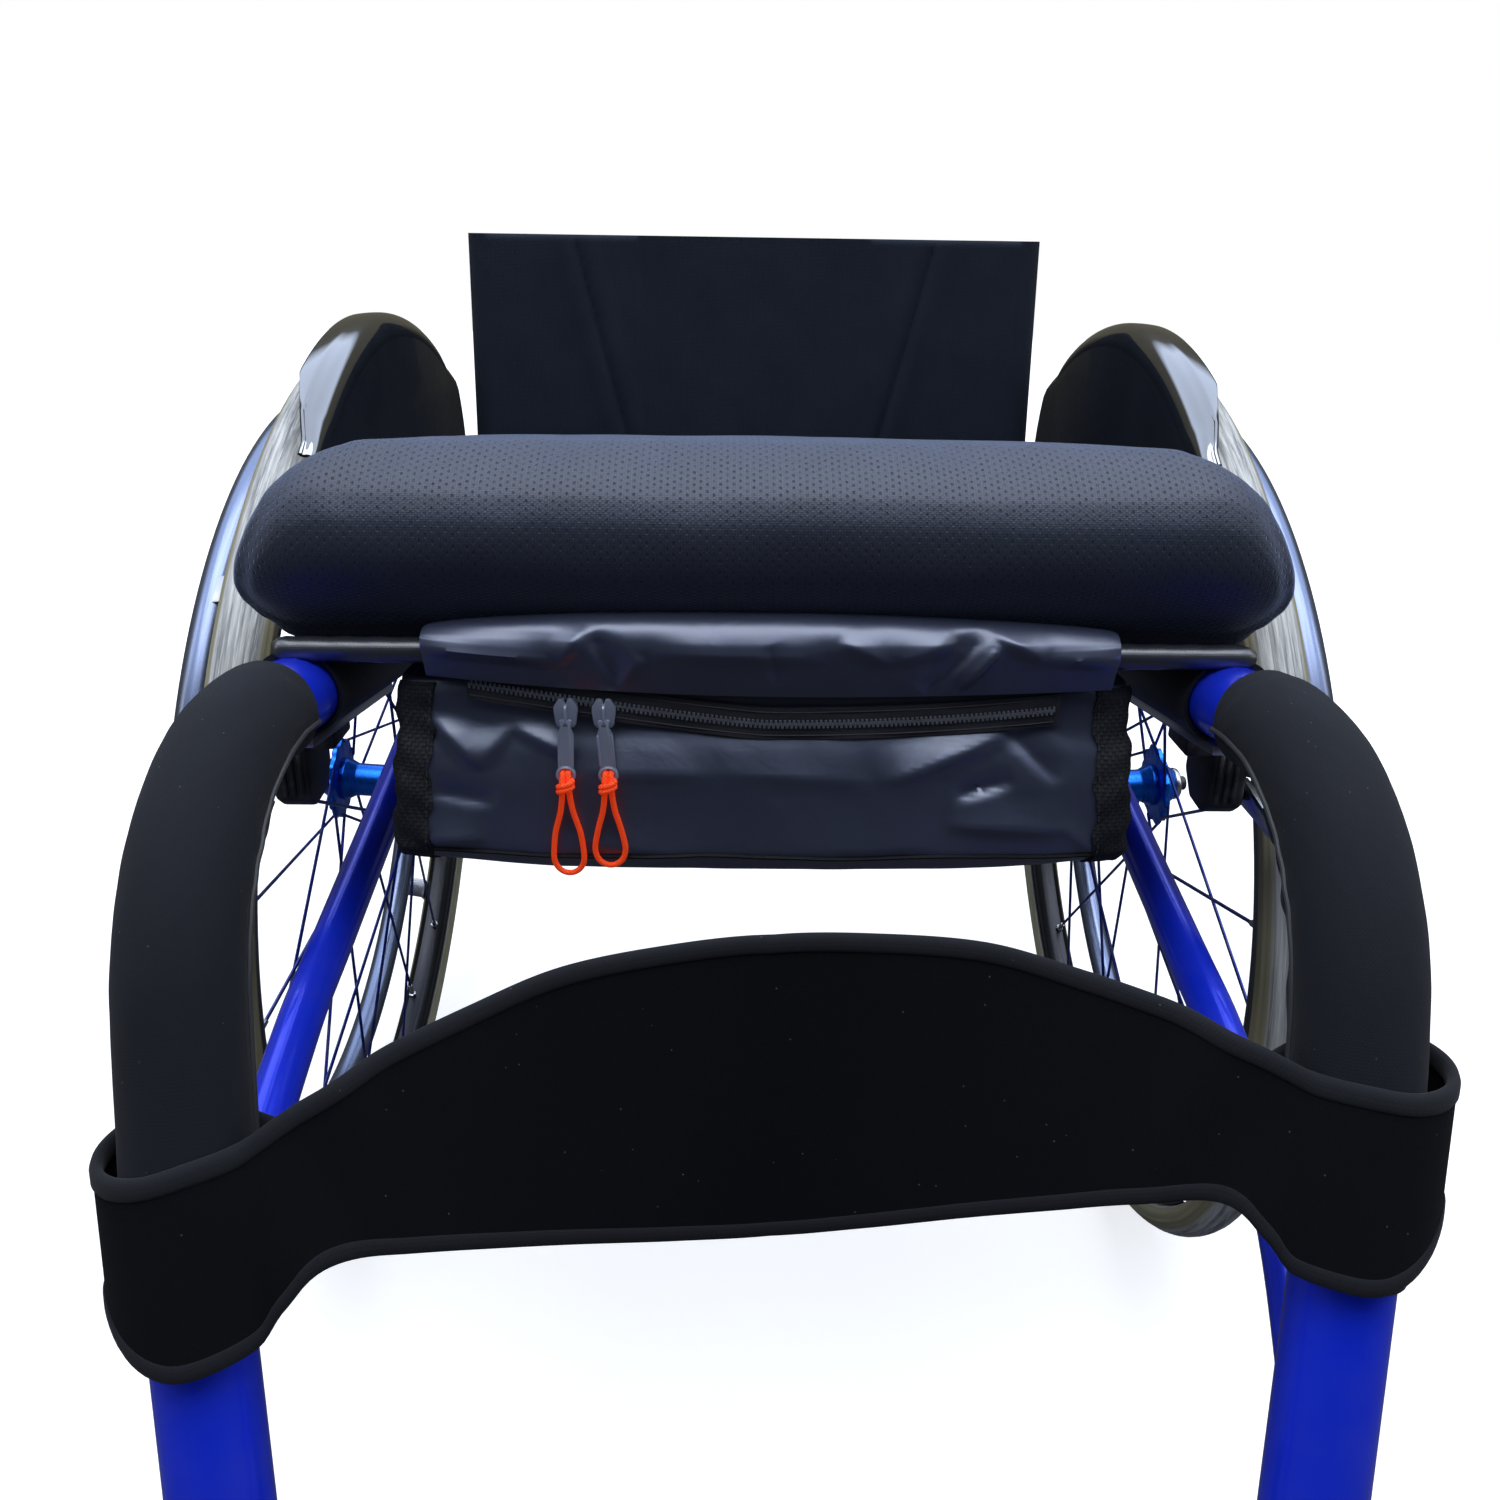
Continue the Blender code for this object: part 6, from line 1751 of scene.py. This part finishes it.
def make_pouch_flap():
    """Cloth flap over the front hem, whose lower edge hangs in front of the pouch."""
    top = rail_z(SEAT_FRONT) + TUBE_R + GAP + BEAD_R
    tight = [(-313.4, 482.5), (-314.2, 485), (-315.6, 489), (-317.2, 494)]
    tight += arc(BEAD_R + 1.8, 165, 62, 8, (SEAT_FRONT + 1, top))
    loose = [(-313.4, 482.5), (-316, 487), (-319.5, 494), (-322.5, 501), (-323, 507), (-320.5, 512),
             (-316, 515), (-309, 516), (-303, 514)]
    tight = smooth_line([(0, y, z) for y, z in tight], 6)
    loose = smooth_line([(0, y, z) for y, z in loose], 8)
    size = (296, reaches(loose)[-1])

    def lay(u, v):
        x = size[0] * u - 146
        full = min(1.0, sin(pi * u) ** 0.55 * (1.08 - 0.25 * u))
        _, y, z = mixed(at_part(tight, v), at_part(loose, v), full)
        hang = clamp((top + 14 - z) / 9)
        lift = sum(ridge(x, z, *fold) for fold in FLAP_FOLDS) + 0.4 * ripple(x * 0.055, z * 0.06, 9.0)
        lift = hang * max(-2.4, lift)
        sag = (1 - v) ** 2 * (3 * sin(pi * u) - 6 * (1 - u) ** 4 - 2 * u ** 4)
        return at_axle((x, y - lift * 1.1, z - sag + lift * 0.35))

    flap = cut_cloth(size, (200, 60), lay)
    finished("pouch_flap", [thick(flap, 1.2)], POUCH, "chair", "pouch_nylon", "bag_flap", angle=60)


def zip_point(x, ahead, up):
    """A point by the zip's own line, which is higher at its closed end and slack in the middle."""
    u = x / 130
    z = ZIP_Z + (8 * u * u if u > 0 else 18 * abs(u) ** 1.2)
    return at_axle((x, ZIP_Y - ahead, z + up))


def make_zip():
    """Two cloth tapes with a row of teeth and a sewn line on each."""
    def lay(u, v):
        return zip_point(ZIP_LONG * u - 130, 1.3 - 0.35 * sin(u * 31) * (2 * v - 1), (v - 0.5) * ZIP_WIDE)

    tape = cut_cloth((ZIP_LONG, ZIP_WIDE), (150, 10), lay)
    finished("zip_cloth", [thick(tape, 0.8)], ZIP_TAPE, "chair", "zip_tape", "zip", angle=60)
    teeth = []
    for i in range(128):
        for way in (-1, 1):
            near = zip_point(2 * i - 128, 2.3, -0.5 * way) + Vector((0.5 * way, 0, 0))
            teeth.append(swept([near, near + Vector((0, 0, 2.3 * way))], 0.62, 6))
    finished("zip_teeth", teeth, ZIP_TEETH, "chair", "zip_metal")
    seams = []
    for way in (-1, 1):
        seams.append(swept([zip_point(256 * i / 79 - 129, 1.9, 5.4 * way) for i in range(80)], 0.3, 6))
    finished("zip_seams", seams, STITCH, "chair", "black_cloth")


def front_plate(outline, y0, y1, width=0.35):
    """A front view outline of (x, z) points, filled, pulled from y0 to y1 and softened."""
    return softened(prism([(x, y0, z) for x, z in outline], (0, y1 - y0, 0)), width)


def make_slider(word, x, tilt):
    """Slider body with its bridge, the pull with its eye, and the orange loop knotted through it."""
    face = ZIP_Y - 3.5
    front = face - 3
    half = [(3.2, -1), (4.4, 0.5), (5.2, 6), (5.2, 8.5), (3, 12), (0.9, 12)]
    body = front_plate(half + [(0, 9.4)] + [(-a, b) for a, b in reversed(half)], face, face - 2.6, 0.5)
    bow = [(0, face - 2.2, 9.5), (0, front - 0.9, 8.2), (0, front - 1.4, 4.4), (0, front - 1.0, 1.0),
           (0, face - 2.2, 0.2)]
    bridge = swept(smooth_line(bow, 5), 0.8, 10)
    finished("slider_" + word, [body, bridge], ZIP_METAL, "slider_" + word, "zip_metal", "zip_slider_" + word,
             place=moved(at_axle((x, 0, ZIP_Z))))
    place = moved(at_axle((x, front - GAP - 0.8, ZIP_Z + 2))) @ Matrix.Rotation(tilt, 4, "Y")
    outline = [(-2.9, 0.9), (-1.5, 1.6), (0, 0.5), (1.5, 1.6), (2.9, 0.9), (2.2, -2.2), (3.5, -5.5),
               (3.5, -19)]
    outline += arc(4.5, 40, -220, 26, (0, EYE_Z)) + [(-3.5, -19), (-3.5, -5.5), (-2.2, -2.2)]
    parts = [cut_with(front_plate(outline, 0.75, -0.75), rod((0, -3, EYE_Z), (0, 3, EYE_Z), 2.7, 28),
                      rod((0, -3, -1.2), (0, 3, -1.2), 0.9, 16))]
    parts.append(swept([(a, -0.5, b) for a, b in arc(3.6, 0, 351, 39, (0, EYE_Z))], 0.85, 10, closed=True))
    if word == "second":
        parts += [rod((way * 3.1, -0.6, -5.6), (way * 3.1, -0.6, -20), 0.6, 10) for way in SIDES]
    finished("pull_" + word, parts, ZIP_METAL, "pull_" + word, "zip_metal", "zip_pull_" + word, place=place)
    make_loop(word, place @ Vector((0, 0, EYE_Z * MM)) / MM)


def make_loop(word, hole):
    """A length of cord doubled through the pull's eye and knotted under it, hanging as a drop."""
    length = 48.5 if word == "first" else 44.5
    half = [(-0.9, 1.9, 0.2), (-1.2, -1.6, 0.9), (-1.5, -3.3, -2.6), (-1.5, -3.5, -6), (-1.9, -3.2, -11),
            (-2.8, -2.6, -17), (-4.4, -2.0, -23), (-5.8, -1.5, -29), (-6.8, -1.0, 9 - length),
            (-5.8, -0.5, 4 - length), (-3.2, -0.2, 1 - length)]
    points = half + [(0, 0, -length)] + [(-a, b * 0.92 + 0.1, c) for a, b, c in reversed(half)]
    route = smooth_line([hole + Vector(p) for p in points], 4)
    cord = curve_along(route, [CORD_R] * len(route))
    cord.name = cord.data.name = "orange_loop_" + word
    cord.data.bevel_resolution = 5
    cord.data.materials.append(CORD)
    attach(cord, "pull_" + word)
    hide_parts("cord_loop_" + word)
    centre = hole + Vector((0, -3.6, -5.4))
    turns = []
    for i in range(49):
        t = 4 * pi * i / 48
        turns.append(centre + Vector((3.1 * sin(t), 1.8 * cos(t), 3.4 - 4.6 * i / 48 + 0.7 * sin(t))))
    knot = swept(turns, 1.25, 14)
    finished("loop_knot_" + word, [knot], CORD, "pull_" + word, "cord_orange", angle=60)


def make_soft_parts():
    make_seat_sling()
    make_cushion()
    make_back_upholstery()
    for side in SIDES:
        make_sleeve(side)
    make_strap()
    make_pouch()
    make_pouch_flap()
    make_zip()
    for word, x, tilt in SLIDERS:
        make_slider(word, x, tilt)


set_camera()
set_light()
make_wheels()
make_rigid_parts()
make_soft_parts()
